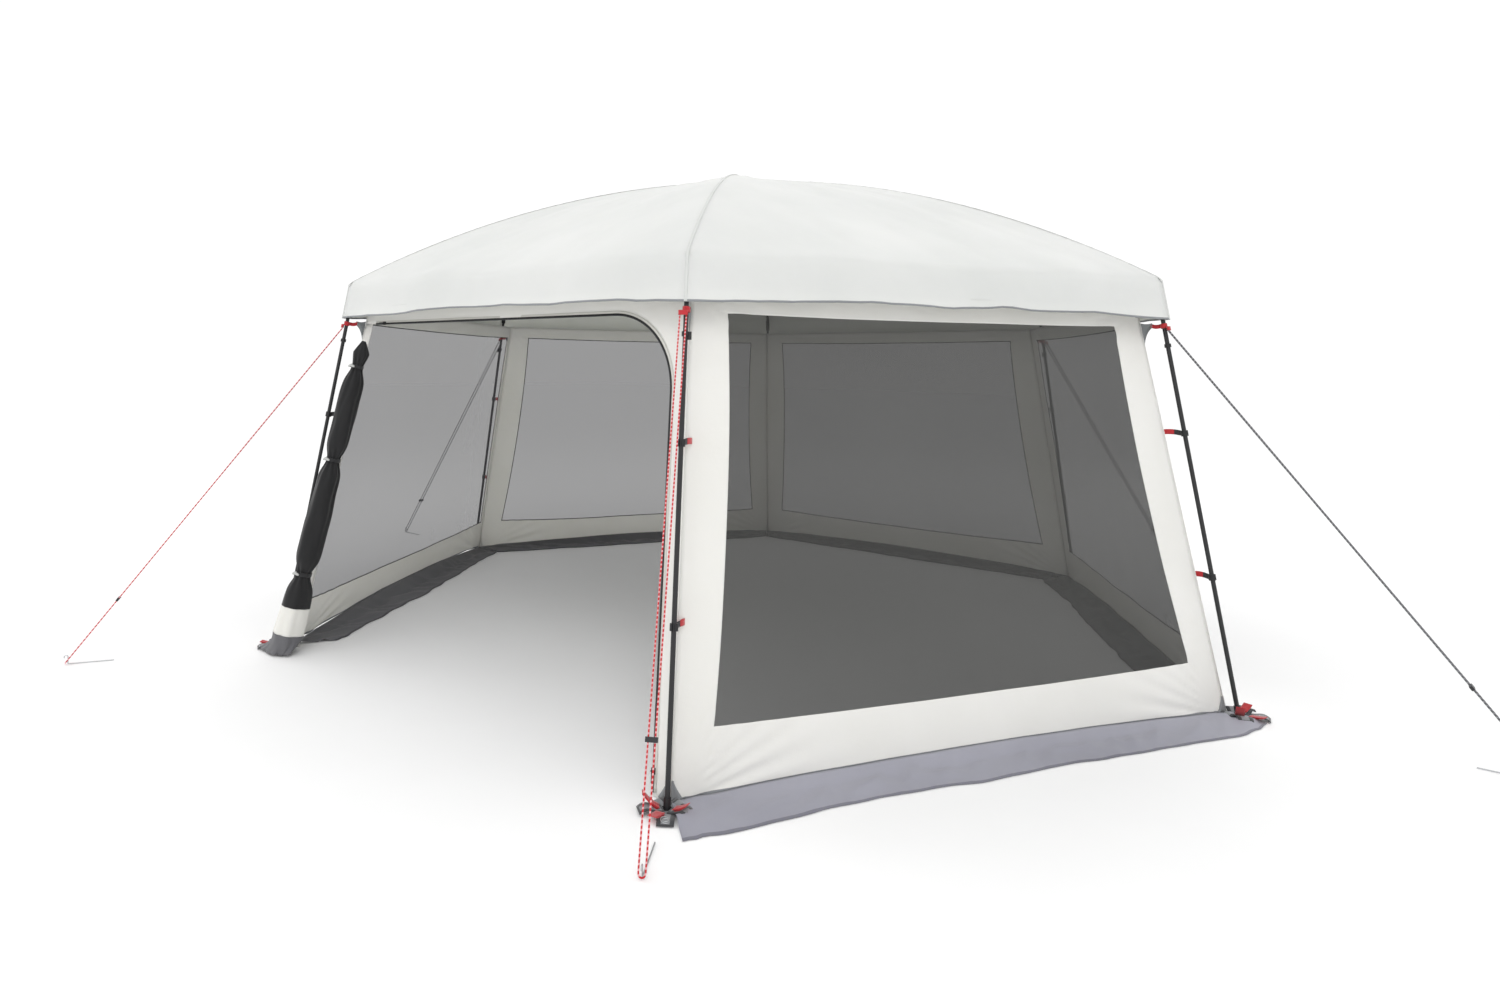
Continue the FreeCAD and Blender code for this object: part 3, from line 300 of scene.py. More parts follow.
def coated_metal(name, code, metallic, roughness, grain_scale):
    """Tube or wire: zinc plated, or powder coated with a slight orange peel."""
    material, tree, shader, place = new_material(name)
    peel = texture(tree, place, "Noise", Scale=grain_scale, Detail=2.0)
    cloud = texture(tree, place, "Noise", Scale=14.0, Detail=3.0)
    ramp = two_tone(tree, cloud, tinted(code, 0.85), tinted(code, 1.2))
    rough_range = {"To_Min": roughness - 0.06, "To_Max": roughness + 0.1}
    wear = node(tree, "ShaderNodeMapRange", [("Value", cloud, "Fac")], **rough_range)
    tree.links.new(wear.outputs["Result"], shader.inputs["Roughness"])
    relief = bump(tree, peel, 0.2, 0.0003)
    return finish_material(material, tree, shader, ramp, relief, Metallic=metallic)


def repaint(cad_node, material):
    """A CAD node that stays on show gets its finish."""
    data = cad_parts[cad_node].data
    data.materials.clear()
    data.materials.append(material)


black_polyamide = plastic("black moulded polyamide", "#26272A", 0.42)
zinc_wire = coated_metal("zinc plated steel wire", "#B9BBBD", 1.0, 0.34, 160.0)
for corner in corner_angles:
    repaint("line_runner_" + corner, black_polyamide)
repaint("guy_pegs", zinc_wire)
repaint("leg_ferrules", zinc_wire)

# ---------------------------------------------------------------- legs, elbows, rods and hub
# Six legs of black powder coated 16 mm steel tube in two sections. Moulded black nylon elbows and
# hub hold the arched roof rods of 11 mm pultruded glass fibre.

black_tube = coated_metal("black powder coated steel", "#1E1F21", 0.0, 0.38, 420.0)
black_nylon = plastic("black moulded nylon", "#17181A", 0.5)
glass_fibre = coated_metal("black pultruded glass fibre", "#141516", 0.0, 0.3, 90.0)
for corner in corner_angles:
    repaint("leg_upper_" + corner, black_tube)
    repaint("leg_lower_" + corner, black_tube)
for cad_node in ("corner_elbows", "crown_hub", "foot_caps", "eave_hooks", "pole_clips"):
    repaint(cad_node, black_nylon)
repaint("roof_poles", glass_fibre)

# ---------------------------------------------------------------- roof
# One cover of light grey coated polyester in six gores. The hips are felled seams over the rods,
# the edge drops steeply past the elbows, and the hem is bound in grey tape.

eave_height = 1.500
foot_radius = 2.286
eave_radius = 2.020
knee_height = 1.640
rod_top_height = 2.262
rod_rise = 0.120
roof_gap = 0.026
hem_drop = 0.010
leg_out = Vector((eave_height, 0, foot_radius - eave_radius)).normalized()
half_corner = math.radians(30)


def pole_at(height):
    """The leg's axis in its corner's frame."""
    return Vector((foot_radius - (foot_radius - eave_radius) * height / eave_height, 0, height))


knee = pole_at(knee_height)
crown = Vector((0, 0, rod_top_height))
chord = crown - knee
rod_radius = (chord.length ** 2 / 4 + rod_rise ** 2) / (2 * rod_rise)
rod_centre = (knee + crown) / 2 + Vector((-chord.z, 0, chord.x)).normalized() * (rod_radius - rod_rise)
knee_angle = math.atan2(knee.z - rod_centre.z, knee.x - rod_centre.x)
crown_angle = math.atan2(crown.z - rod_centre.z, crown.x - rod_centre.x)
hem_corner = pole_at(eave_height - hem_drop) + leg_out * roof_gap
knee_out = Vector((math.cos(knee_angle), 0, math.sin(knee_angle)))
knee_corner = knee + (leg_out + knee_out) * (roof_gap / (1 + leg_out.dot(knee_out)))
drop_share = 0.13


def hip_point(share):
    """A point on the roof over a rod: the drop for the first share, then the arch to the crown."""
    if share < drop_share:
        return hem_corner.lerp(knee_corner, share / drop_share)
    angle = knee_angle + (crown_angle - knee_angle) * (share - drop_share) / (1 - drop_share)
    return rod_centre + Vector((math.cos(angle), 0, math.sin(angle))) * (rod_radius + roof_gap)


def polyester(name, code, shade, glow, weave_pitch, sheen):
    """Coated polyester: a plain weave with a soft sheen that lets some light through.

    The real thread is 0.3 mm. The weave is drawn at weave_pitch so that it shows."""
    material, tree, shader, place = new_material(name)
    cloud = texture(tree, place, "Noise", Scale=1.6, Detail=5.0)
    ramp = two_tone(tree, cloud, linear(shade), linear(code), 0.3, 0.7)
    thread = {"Scale": wave_scale(weave_pitch), "Distortion": 0.4, "Detail": 1.0}
    warp, weft = [texture(tree, place, "Wave", bands_direction=way, **thread) for way in ("X", "Z")]
    weave = node(tree, "ShaderNodeMath", [(0, warp, "Fac"), (1, weft, "Fac")], operation="MULTIPLY")
    creases = texture(tree, place, "Noise", Scale=9.0, Detail=6.0)
    soft = bump(tree, creases, 0.25, 0.012)
    relief = bump(tree, weave, 0.3, 0.0004, "Value", [("Normal", soft, "Normal")])
    return finish_material(
        material,
        tree,
        shader,
        ramp,
        relief,
        Roughness=0.62,
        Sheen_Weight=sheen,
        Subsurface_Weight=glow,
        Subsurface_Radius=(0.02, 0.02, 0.018),
        Subsurface_Scale=0.4,
    )


roof_cloth = polyester("light grey coated polyester", "#DADBD8", "#CFD1CE", 0.45, 0.004, 0.1)
seam_cloth = polyester("felled seam in roof polyester", "#D3D5D2", "#C9CBC8", 0.1, 0.004, 0.1)
grey_binding = polyester("grey hem binding", "#8E9194", "#808386", 0.0, 0.003, 0.15)

gore_columns = 48
gore_rows = 56
fabric = 0.002
seam_width = 0.011


def gore_sag(share, side):
    """How far the cloth hangs in between two rods. side runs from -1 to 1 across the gore."""
    between = 1 - side * side
    if share < drop_share:
        return -0.010 * between * share / drop_share
    along = (share - drop_share) / (1 - drop_share)
    return -0.010 * between * (1 - along) - 0.030 * between * math.sin(math.pi * along) * (1 - along)


def hem_lift(side):
    """The hem bows up between the poles."""
    return 0.016 * (1 - side * side)


def gore_point(share, side, seed):
    """A point of a gore whose middle is on the X axis."""
    hip = hip_point(share)
    edge = Vector((hip.x * math.cos(half_corner), hip.x * math.sin(half_corner), hip.z))
    point = Vector((edge.x, edge.y * side, edge.z))
    low = max(0.0, 1 - share / drop_share)
    point.z += hem_lift(side) * low
    point.z += gore_sag(share, side) * 0.9
    point.x += gore_sag(share, side) * (0.5 if share > drop_share else 1.0)
    between = 1 - side ** 8
    ripple = noise.noise(Vector((side * 3.1 + seed, share * 4.0, seed * 1.7)))
    fine = noise.noise(Vector((side * 9.0 + seed, share * 11.0, seed * 2.3)))
    point.z += between * (ripple * 0.012 + fine * 0.005) * min(1, hip.x)
    if share < drop_share * 1.6:
        fold = math.sin(side * 19 + seed) * 0.0025 + noise.noise(Vector((side * 7, seed, 0))) * 0.004
        point.x += fold * between
    # Tension creases run in from each rod just above the elbow.
    pull = math.exp(-((share - drop_share - 0.05) / 0.06) ** 2) * math.exp(-((1 - abs(side)) / 0.16) ** 2)
    point.z += 0.004 * pull * math.sin((1 - abs(side)) * 60)
    return point


hem_tape = 0.008
hem_share = drop_share * hem_tape / (knee_corner - hem_corner).length
roof_mesh = bmesh.new()
for number, wall_angle in enumerate((30, 90, 150, 210, 270, 330)):
    gore = grid(roof_mesh, gore_rows, gore_columns)
    for face in faces_of(gore):
        if face.calc_center_median().x < 1 / gore_rows - 0.5:
            face.material_index = 1
    for vertex in gore:
        row = round((vertex.co.x + 0.5) * gore_rows)
        share = hem_share * row if row < 2 else hem_share + (1 - hem_share) * (row - 1) / (gore_rows - 1)
        side = vertex.co.y * 2
        vertex.co = gore_point(share, side, number * 5.3 + 1)
    turn_about_crown(roof_mesh, gore, wall_angle)
bmesh.ops.remove_doubles(roof_mesh, verts=roof_mesh.verts, dist=0.0008)
roof = finish_mesh("roof_cover", roof_mesh, [roof_cloth, grey_binding])
thicken(roof, fabric, offset=-1)
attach(roof, "house")
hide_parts("roof_canopy")

seams_mesh = bmesh.new()
for seam_angle in corner_angles.values():
    strip = grid(seams_mesh, gore_rows * 2, 2)
    for vertex in strip:
        share = vertex.co.x + 0.5
        spot = hip_point(share)
        width = vertex.co.y * seam_width * min(1, (spot.x + 0.02) / 0.1)
        puckered = spot.z + 0.0018 + 0.0004 * math.sin(share * 260)
        vertex.co = Vector((spot.x - abs(width) * 0.5, width, puckered))
    turn_about_crown(seams_mesh, strip, seam_angle)
seams = finish_mesh("roof_hip_seams", seams_mesh, [seam_cloth])
thicken(seams, 0.0016, offset=-1)
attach(seams, "house")

# ---------------------------------------------------------------- walls
# Five walls have a large window of insect mesh in a border of pale grey polyester: a deep band at the
# foot, strips at the sides and a narrow valance. Black tape binds every window but the right front.

wall_low, wall_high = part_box("wall_border_back")
wall_foot_radius = wall_high.x * 2
wall_foot = 0.002
wall_top = wall_high.z
foot_apothem = wall_foot_radius * math.cos(half_corner)
top_apothem = wall_low.y
wall_top_radius = top_apothem / math.cos(half_corner)
wall_slope = math.hypot(wall_top - wall_foot, foot_apothem - top_apothem)
wall_lean = math.atan2(foot_apothem - top_apothem, wall_top - wall_foot)
band = 0.181
valance = 0.067
side_strip = 0.128
narrow_strip = 0.034  # on the left front wall, whose window is wider
binding = 0.005
hem_binding = 0.007
window_bow = 0.022  # how far a window's sides bow in
narrow_bow = 0.006
band_bow = 0.012
valance_sag = 0.010
wall_angles = {
    "right_back": 30,
    "back": 90,
    "left_back": 150,
    "left_front": 210,
    "front": 270,
    "right_front": 330,
}


def half_width(up):
    """Half a wall's width at a distance up its slope."""
    return (wall_foot_radius + (wall_top_radius - wall_foot_radius) * up / wall_slope) / 2


def wall_frame(wall):
    """A wall's own frame: X along it, Y up its slope, Z outwards, from the middle of its foot."""
    a = math.radians(wall_angles[wall])
    along = Vector((-math.sin(a), math.cos(a), 0))
    up = Vector((-math.cos(a) * math.sin(wall_lean), -math.sin(a) * math.sin(wall_lean), math.cos(wall_lean)))
    out = along.cross(up)
    base = Vector((foot_apothem * math.cos(a), foot_apothem * math.sin(a), wall_foot))
    return Matrix.Translation(base) @ Matrix((along, up, out)).transposed().to_4x4()


def slack(x, up, seed):
    """How far the cloth stands off its flat plane: a slow billow and soft folds towards its corners."""
    side = min(1.0, abs(x) / half_width(up))
    free = 1 - side ** 6
    low = max(0.0, 1 - up / 0.3)
    high = max(0.0, 1 - (wall_slope - up) / 0.2)
    billow = noise.noise(Vector((x * 1.3 + seed, up * 1.5, seed))) * 0.014
    fold = noise.noise(Vector((x * 5 + seed, up * 3.0, seed * 2))) * 0.005
    reach = half_width(up) - abs(x)
    fan = math.atan2(up + 0.02, reach + 0.02)
    foot_folds = math.sin(fan * 36 + seed) * 0.0055 * low * math.exp(-((reach - 0.20) / 0.24) ** 2)
    top_fan = math.atan2(wall_slope - up + 0.02, reach + 0.02)
    top_folds = math.sin(top_fan * 26 + seed) * 0.005 * high * math.exp(-((reach - 0.14) / 0.17) ** 2)
    return (billow + fold) * free + (foot_folds + top_folds) * (1 - side ** 40)


hem_lifts = {
    "right_back": 0.030,
    "back": 0.035,
    "left_back": 0.040,
    "left_front": 0.050,
    "right_front": 0.022,
}


def hem_height(wall, side):
    """How far a wall's hem is pulled up off the ground, from nothing at its corners. side is -1 to 1."""
    return hem_lifts[wall] * (1 - side * side)


def breaks(cuts, place):
    """Moves a grid line number to its place, straight between the cuts given as (line, place)."""
    for (line_a, place_a), (line_b, place_b) in zip(cuts, cuts[1:]):
        if place <= line_b + 1e-6:
            return place_a + (place_b - place_a) * (place - line_a) / (line_b - line_a)
    return cuts[-1][1]


strip_lines = 8
pane_lines = 96
band_lines = 16
valance_lines = 4
columns = 2 * strip_lines + 2 + pane_lines
rows = band_lines + valance_lines + 2 + pane_lines


def shape_wall(verts, wall, seed):
    """Moves a grid's points to a wall, with its lines gathered to the window's bowed edges."""
    narrow = wall == "left_front"
    for vertex in verts:
        column = round((vertex.co.x + 0.5) * columns)
        row = round((vertex.co.y + 0.5) * rows)
        lean = min(1, max(0, (row - band_lines) / (pane_lines + 2)))
        bulge = (narrow_bow if narrow else window_bow) * 4 * lean * (1 - lean)
        across = (column / columns) * 2 - 1
        sag = valance_sag * (1 - across * across)
        up = breaks(
            (
                (0, hem_height(wall, across)),
                (1, hem_height(wall, across) + hem_binding),
                (band_lines, band + band_bow * across * across),
                (band_lines + 1, band + band_bow * across * across + binding),
                (rows - valance_lines - 1, wall_slope - valance - sag - binding),
                (rows - valance_lines, wall_slope - valance - sag),
                (rows, wall_slope),
            ),
            row,
        )
        half = half_width(up)
        inner = half - (narrow_strip if narrow else side_strip) - bulge
        x = breaks(
            (
                (0, -half),
                (strip_lines, -inner),
                (strip_lines + 1, -inner + binding),
                (columns - strip_lines - 1, inner - binding),
                (columns - strip_lines, inner),
                (columns, half),
            ),
            column,
        )
        vertex.co = Vector((x, up, slack(x, up, seed) + fabric))


def cell(face, count_x, count_y):
    """The column and row of a grid face before its points are moved."""
    centre = face.calc_center_median()
    return int((centre.x + 0.5) * count_x), int((centre.y + 0.5) * count_y)


wall_cloth = polyester("pale grey coated polyester", "#E9E8E3", "#E1E0DA", 0.35, 0.004, 0.12)
black_tape = polyester("black woven edge tape", "#26272A", "#1C1D20", 0.0, 0.003, 0.25)


def insect_mesh(name, code, cover):
    """Knitted polyester insect mesh, 1.2 mm holes. Too fine to draw, so cover is its share of thread.

    The knit shows as fine ribs 4 mm apart, drawn coarse enough to see."""
    material, tree, shader, place = new_material(name)
    ribs = texture(tree, place, "Wave", bands_direction="Z", Scale=wave_scale(0.004))
    cloud = texture(tree, place, "Noise", Scale=2.5, Detail=4.0)
    ramp = two_tone(tree, cloud, tinted(code, 0.8), tinted(code, 1.25))
    relief = bump(tree, ribs, 0.15, 0.0004)
    finish_material(material, tree, shader, ramp, relief, Roughness=0.8, Sheen_Weight=0.15, Alpha=cover)
    return material


dark_mesh = insect_mesh("dark knitted insect mesh", "#3B3B42", 0.71)
# Painted shade: a darker, denser copy of the mesh for the right front window, standing in for the shade seen
# through it.
shade_darkened_mesh = insect_mesh("dark knitted insect mesh, darkened for painted shade", "#31312F", 0.74)

for number, wall in enumerate(name for name in wall_angles if name != "front"):
    seed = number * 7.7 + 3
    # The window's cut, and the cloth strips round it laid end to end.
    strip = narrow_strip if wall == "left_front" else side_strip
    for part in ("border", "pane"):
        mesh = bmesh.new()
        verts = grid(mesh, columns, rows)
        for face in mesh.faces:
            column, row = cell(face, columns, rows)
            sideways = min(column - strip_lines, columns - strip_lines - 1 - column)
            upways = min(row - band_lines, rows - valance_lines - 1 - row)
            inside = min(sideways, upways)
            face.material_index = 1 if inside == 0 and wall != "right_front" else 2 if row == 0 else 0
            face.tag = inside > 0
        unwanted = [face for face in mesh.faces if face.tag != (part == "pane")]
        shape_wall(verts, wall, seed)
        bmesh.ops.delete(mesh, geom=unwanted, context="FACES")
        bmesh.ops.transform(mesh, matrix=wall_frame(wall), verts=mesh.verts)
        if part == "pane":
            for face in mesh.faces:
                face.material_index = 0
            # The right front window takes the darker copy of the mesh: painted shade.
            knit = shade_darkened_mesh if wall == "right_front" else dark_mesh
            piece = finish_mesh("window_mesh_" + wall, mesh, [knit])
            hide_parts("mesh_pane_" + wall)
        else:
            piece = finish_mesh("wall_cloth_" + wall, mesh, [wall_cloth, black_tape, grey_binding])
            thicken(piece, fabric)
            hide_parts("wall_border_" + wall)
        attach(piece, "house")

# ---------------------------------------------------------------- door wall
# The door opens the whole wall: a valance, a thin strip on the left that the rolled door hangs
# from, and on the right a strip that widens into the rounded corner where the zip turns.

zip_inset = 0.062
zip_top = 1.490
zip_corner_radius = 0.300
zip_left_end = -0.880
zip_bottom = 0.010
lean_across = math.atan2((wall_foot_radius - wall_top_radius) / 2, wall_slope)
zip_up = Vector((-math.sin(lean_across), math.cos(lean_across), 0))
zip_foot = Vector((half_width(0) - zip_inset, 0, 0))
zip_corner = zip_foot + zip_up * (zip_top / zip_up.y)
arc_angle = math.pi / 2 - lean_across
back_off = zip_corner_radius * math.tan(arc_angle / 2)
side_end = zip_corner - zip_up * back_off
top_end = zip_corner - Vector((back_off, 0, 0))
arc_centre = top_end - Vector((0, zip_corner_radius, 0))
side_run = (side_end - zip_foot).length
arc_run = zip_corner_radius * arc_angle


def zip_place(run):
    """A point on the zip's line and its direction, a length from the foot of the wall."""
    if run < side_run:
        return zip_foot + zip_up * run, zip_up
    if run < side_run + arc_run:
        angle = lean_across + (run - side_run) / zip_corner_radius
        spoke = Vector((math.cos(angle), math.sin(angle), 0))
        return arc_centre + spoke * zip_corner_radius, Vector((-spoke.y, spoke.x, 0))
    return top_end - Vector((run - side_run - arc_run, 0, 0)), Vector((-1, 0, 0))


def outer_place(run):
    """The wall's own edge across from a point on the zip."""
    spot, ahead = zip_place(run)
    if run < side_run:
        return Vector((half_width(spot.y), spot.y, 0))
    if run > side_run + arc_run:
        return Vector((spot.x, wall_slope, 0))
    spoke = (spot - arc_centre).normalized()
    to_top = (wall_slope - arc_centre.y) / max(spoke.y, 1e-6)
    slope = (wall_top_radius - wall_foot_radius) / 2 / wall_slope
    to_side = (half_width(0) + slope * arc_centre.y - arc_centre.x) / max(spoke.x - slope * spoke.y, 1e-6)
    return arc_centre + spoke * min(to_top, to_side)


full_run = side_run + arc_run + top_end.x + half_width(zip_top)
door_seed = 41.0
door_mesh = bmesh.new()
edge_strip = grid(door_mesh, 150, 6)
for vertex in edge_strip:
    run = (vertex.co.x + 0.5) * full_run
    inner_spot = zip_place(run)[0]
    spot = inner_spot.lerp(outer_place(run), vertex.co.y + 0.5)
    vertex.co = Vector((spot.x, spot.y, slack(spot.x, spot.y, door_seed) * 0.4 + fabric))
left_strip = grid(door_mesh, 4, 60)
for vertex in left_strip:
    up = (vertex.co.y + 0.5) * zip_top
    x = -half_width(up) + (vertex.co.x + 0.5) * zip_inset
    vertex.co = Vector((x, up, slack(x, up, door_seed) * 0.4 + fabric))
bmesh.ops.remove_doubles(door_mesh, verts=door_mesh.verts, dist=0.0005)
bmesh.ops.transform(door_mesh, matrix=wall_frame("front"), verts=door_mesh.verts)
door_border = finish_mesh("door_wall_cloth", door_mesh, [wall_cloth])
thicken(door_border, fabric)
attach(door_border, "house")
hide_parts("wall_border_front")

# ---------------------------------------------------------------- door zip
# A number 5 coil zip on pale woven tape with a black inner edge, from the door's foot on the right,
# round its upper corner and along the top to the roll. The coil is single teeth 4 mm apart.

tape_half = 0.012
tape_inner = -0.006  # its inner half is trimmed back to the coil where the door hangs free
tape_thickness = 0.0012
tooth_pitch = 0.004
zip_run = side_run + arc_run + top_end.x - zip_left_end
door_plane = wall_frame("front")
tape_mesh = bmesh.new()
tape = grid(tape_mesh, 170, 6)
for face in tape_mesh.faces:
    face.material_index = 1 if face.calc_center_median().y < 0 else 0
for vertex in tape:
    run = zip_bottom + (vertex.co.x + 0.5) * (zip_run - zip_bottom)
    spot, ahead = zip_place(run)
    reach = tape_inner + (vertex.co.y + 0.5) * (tape_half - tape_inner)
    sideways = Vector((ahead.y, -ahead.x, 0)) * reach
    vertex.co = spot + sideways + Vector((0, 0, fabric + 0.0022))
bmesh.ops.transform(tape_mesh, matrix=door_plane, verts=tape_mesh.verts)
pale_tape = polyester("pale woven zip tape", "#D2D1CA", "#C6C5BE", 0.0, 0.003, 0.2)
zip_piece = finish_mesh("door_zip_tape", tape_mesh, [pale_tape, black_tape])
thicken(zip_piece, tape_thickness)
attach(zip_piece, "house")
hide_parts("door_zip")

zip_coil = plastic("black nylon zip coil", "#111214", 0.35)
teeth_mesh = bmesh.new()
tooth_count = int((zip_run - zip_bottom) / tooth_pitch)
for number in range(tooth_count):
    spot, ahead = zip_place(zip_bottom + (number + 0.5) * tooth_pitch)
    sideways = Vector((ahead.y, -ahead.x, 0))
    tooth = bmesh.ops.create_cube(teeth_mesh, size=1.0)["verts"]
    shape = Matrix((ahead * 0.0025, sideways * 0.0052, Vector((0, 0, 0.0018)))).transposed().to_4x4()
    centre = Matrix.Translation(spot + Vector((0, 0, fabric + 0.0036)))
    bmesh.ops.transform(teeth_mesh, matrix=door_plane @ centre @ shape, verts=tooth)
teeth = finish_mesh("door_zip_coil", teeth_mesh, [zip_coil], smooth=False)
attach(teeth, "house")

enamel = coated_metal("black enamelled zinc casting", "#1A1B1D", 0.0, 0.32, 200.0)
for cad_node in ("zip_slider_side", "zip_slider_top", "zip_pull_side", "zip_pull_top"):
    repaint(cad_node, enamel)

# ---------------------------------------------------------------- rolled door
# The door's panel is rolled up tight along its hinge side and tied to the wall's edge with three
# tapes: black mesh for most of its length, the pale band below, and the ground skirt spread out.

roll_inset = 0.085
roll_away = 0.084
roll_near = 0.042
roll_top = 1.400
roll_band_top = 0.190
roll_skirt_top = 0.072
roll_top_radius = 0.040
roll_foot_radius = 0.058
tie_places = (1.280, 0.850, 0.335)
tail_centre = Vector((-1.075, -2.048, 0.0105))
tail_half_length = 0.100
tail_half_depth = 0.036


def roll_centre(up):
    """The roll's axis at a distance up the door wall."""
    share = up / roll_top
    return door_plane @ Vector((roll_inset - half_width(up), up, roll_away + (roll_near - roll_away) * share))


roll_down = (roll_centre(0) - roll_centre(roll_top)).normalized()
roll_side = roll_down.cross(Vector((0, 0, 1))).normalized()
roll_front = roll_side.cross(roll_down)


def round_roll_axis(angle):
    """The direction out of the roll at an angle round it."""
    return roll_side * math.cos(angle) + roll_front * math.sin(angle)


def tie_pinch(up):
    """How hard the nearest tape gathers the roll, from 0 to 1."""
    return sum(math.exp(-((up - tie) / 0.048) ** 2) for tie in tie_places)


def roll_radius(up):
    """The roll's middle radius: a point at its top, waists at the ties, wide at the band."""
    share = min(1, max(0, (roll_top - up) / (roll_top - roll_band_top)))
    radius = roll_top_radius + (roll_foot_radius - roll_top_radius) * share
    radius += 0.012 * max(0, 1 - up / roll_band_top)
    radius *= 1 - 0.46 * tie_pinch(up)
    return radius * min(1, 0.2 + (roll_top - up) / 0.07)


def roll_point(up, turn_share):
    """A point on the roll's outer layer, which winds out a little and ends in a loose lip."""
    angle = turn_share * 2 * math.pi + 0.4 + up * 0.5
    gather = tie_pinch(up)
    radius = roll_radius(up) * (0.95 + 0.12 * turn_share)
    lump = noise.noise(Vector((math.cos(angle) * 1.7, math.sin(angle) * 1.7, up * 5 + 9)))
    radius += lump * 0.008 * (1 - 0.6 * gather)
    pleat = math.sin(angle * 9 + noise.noise(Vector((0, 3, up * 7))) * 4)
    radius += pleat * 0.0018 * (0.5 + gather)
    return roll_centre(up) + round_roll_axis(angle) * radius


def rolled(name, high, low, materials):
    """One length of the rolled panel, closed at its ends. The lowest spreads on the ground."""
    mesh = bmesh.new()
    around = 84
    along = max(14, int((high - low) / 0.009))
    verts = grid(mesh, around, along)
    for vertex in verts:
        column = round((vertex.co.x + 0.5) * around) % around
        share = 0.5 - vertex.co.y
        turn_share = column / (around - 1) * 0.995
        if low > 0:
            vertex.co = roll_point(low + (high - low) * share, turn_share)
            continue
        top = roll_point(high, turn_share)
        spoke = top - roll_centre(high)
        angle = math.atan2(spoke.y, spoke.x)
        ruffle = 1 + 0.10 * math.sin(angle * 5 + 1) + 0.06 * math.sin(angle * 11)
        spread = Vector((math.cos(angle) * tail_half_length, math.sin(angle) * tail_half_depth, 0)) * ruffle
        down = 1 - share
        outwards = down * down * (3 - 2 * down)
        spot = top.lerp(tail_centre + spread, outwards)
        spot.z = top.z + (tail_centre.z - top.z) * math.sin(down * math.pi / 2) ** 0.9
        spot.z += 0.005 * math.sin(angle * 7 + 2) * math.sin(math.pi * down)
        vertex.co = spot
    bmesh.ops.remove_doubles(mesh, verts=mesh.verts, dist=0.00002)
    bmesh.ops.holes_fill(mesh, edges=[edge for edge in mesh.edges if edge.is_boundary], sides=0)
    bmesh.ops.triangulate(mesh, faces=[face for face in mesh.faces if len(face.verts) > 4])
    return finish_mesh(name, mesh, materials)


rolled_mesh = insect_mesh("rolled insect mesh, many layers", "#111113", 1.0)
skirt_cloth = polyester("lavender grey coated skirt", "#9F9FAA", "#92929D", 0.0, 0.005, 0.1)
# Painted shade: a darker copy of the skirt cloth, the tone it has in the shade under the roof, for the
# turned-in skirts and the rolled door's skirt.
shaded_skirt_cloth = polyester("lavender grey skirt cloth, painted shade", "#6A6A6D", "#5C5C60", 0.0, 0.005, 0.1)
for name, high, low, material, cad_node, slot_name in (
    ("rolled_door_mesh", roll_top, roll_band_top, rolled_mesh, "door_roll_mesh", "insect_mesh"),
    ("rolled_door_band", roll_band_top, roll_skirt_top, wall_cloth, "door_roll_band", "wall_polyester"),
    ("rolled_door_skirt", roll_skirt_top, 0, shaded_skirt_cloth, "door_roll_skirt", "skirt_polyethylene"),
):
    piece = rolled(name, high, low, [material])
    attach(piece, "house")
    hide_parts(cad_node)


def webbing(name, code, shade):
    """Woven polypropylene or polyester strap: slanting ribs, with painted shade darkening the furrows between
    them.
    """
    material, tree, shader, place = new_material(name)
    slant = {"bands_direction": "DIAGONAL", "Scale": wave_scale(0.0025), "Distortion": 0.8}
    ribs = texture(tree, place, "Wave", **slant)
    # Painted shade: the ribs' relief also sets their colour, so the furrows are painted darker.
    ramp = two_tone(tree, ribs, linear(shade), linear(code))
    relief = bump(tree, ribs, 0.5, 0.0005)
    return finish_material(material, tree, shader, ramp, relief, Roughness=0.68, Sheen_Weight=0.3)


def ribbon(mesh, steps, path, across, material=0):
    """A strap in a mesh. path gives its middle and across half its width, both from 0 to 1."""
    verts = grid(mesh, steps, 4)
    for face in faces_of(verts):
        face.material_index = material
    for vertex in verts:
        share = vertex.co.x + 0.5
        vertex.co = path(share) + across(share) * (vertex.co.y * 2)
    return verts


def strap_piece(name, mesh, materials, thickness):
    """Straps given their thickness."""
    piece = finish_mesh(name, mesh, materials)
    thicken(piece, thickness)
    return piece


# The ties are loops of black tape round the waists, each closed with a pale toggle.

tie_webbing = webbing("black polypropylene tape", "#1D1D20", "#0F0F11")
pale_toggle = plastic("pale moulded toggle", "#B9BAB8", 0.4)
tie_mesh = bmesh.new()
for tie in tie_places:
    middle = roll_centre(tie)
    reach = roll_radius(tie) * 1.06 + 0.004

    def round_roll(share, middle=middle, reach=reach):
        angle = share * 2 * math.pi
        return middle + round_roll_axis(angle) * reach

    ribbon(tie_mesh, 40, round_roll, lambda share: roll_down * 0.008)
    for toggle_angle, lean in ((1.9, 0.5), (2.3, -0.35)):
        spoke = round_roll_axis(toggle_angle)
        toggle = bmesh.ops.create_uvsphere(tie_mesh, u_segments=16, v_segments=10, radius=0.0055)["verts"]
        stretch = Matrix.Diagonal((1, 1, 2.4, 1))
        aim = Matrix.Rotation(math.pi / 2 + lean, 4, spoke)
        placed = Matrix.Translation(middle + spoke * (reach + 0.005)) @ aim
        bmesh.ops.transform(tie_mesh, matrix=placed @ stretch, verts=toggle)
        for face in faces_of(toggle):
            face.material_index = 1
bmesh.ops.remove_doubles(tie_mesh, verts=tie_mesh.verts, dist=0.00005)
ties = strap_piece("door_ties", tie_mesh, [tie_webbing, pale_toggle], 0.0012)
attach(ties, "house")
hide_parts("roll_ties")

# ---------------------------------------------------------------- ground skirts
# A strip of coated cloth sewn to each wall's hem keeps insects out. The right front wall's lies
# outside on the ground, the rest are turned in. Their free edge is bound in tape.

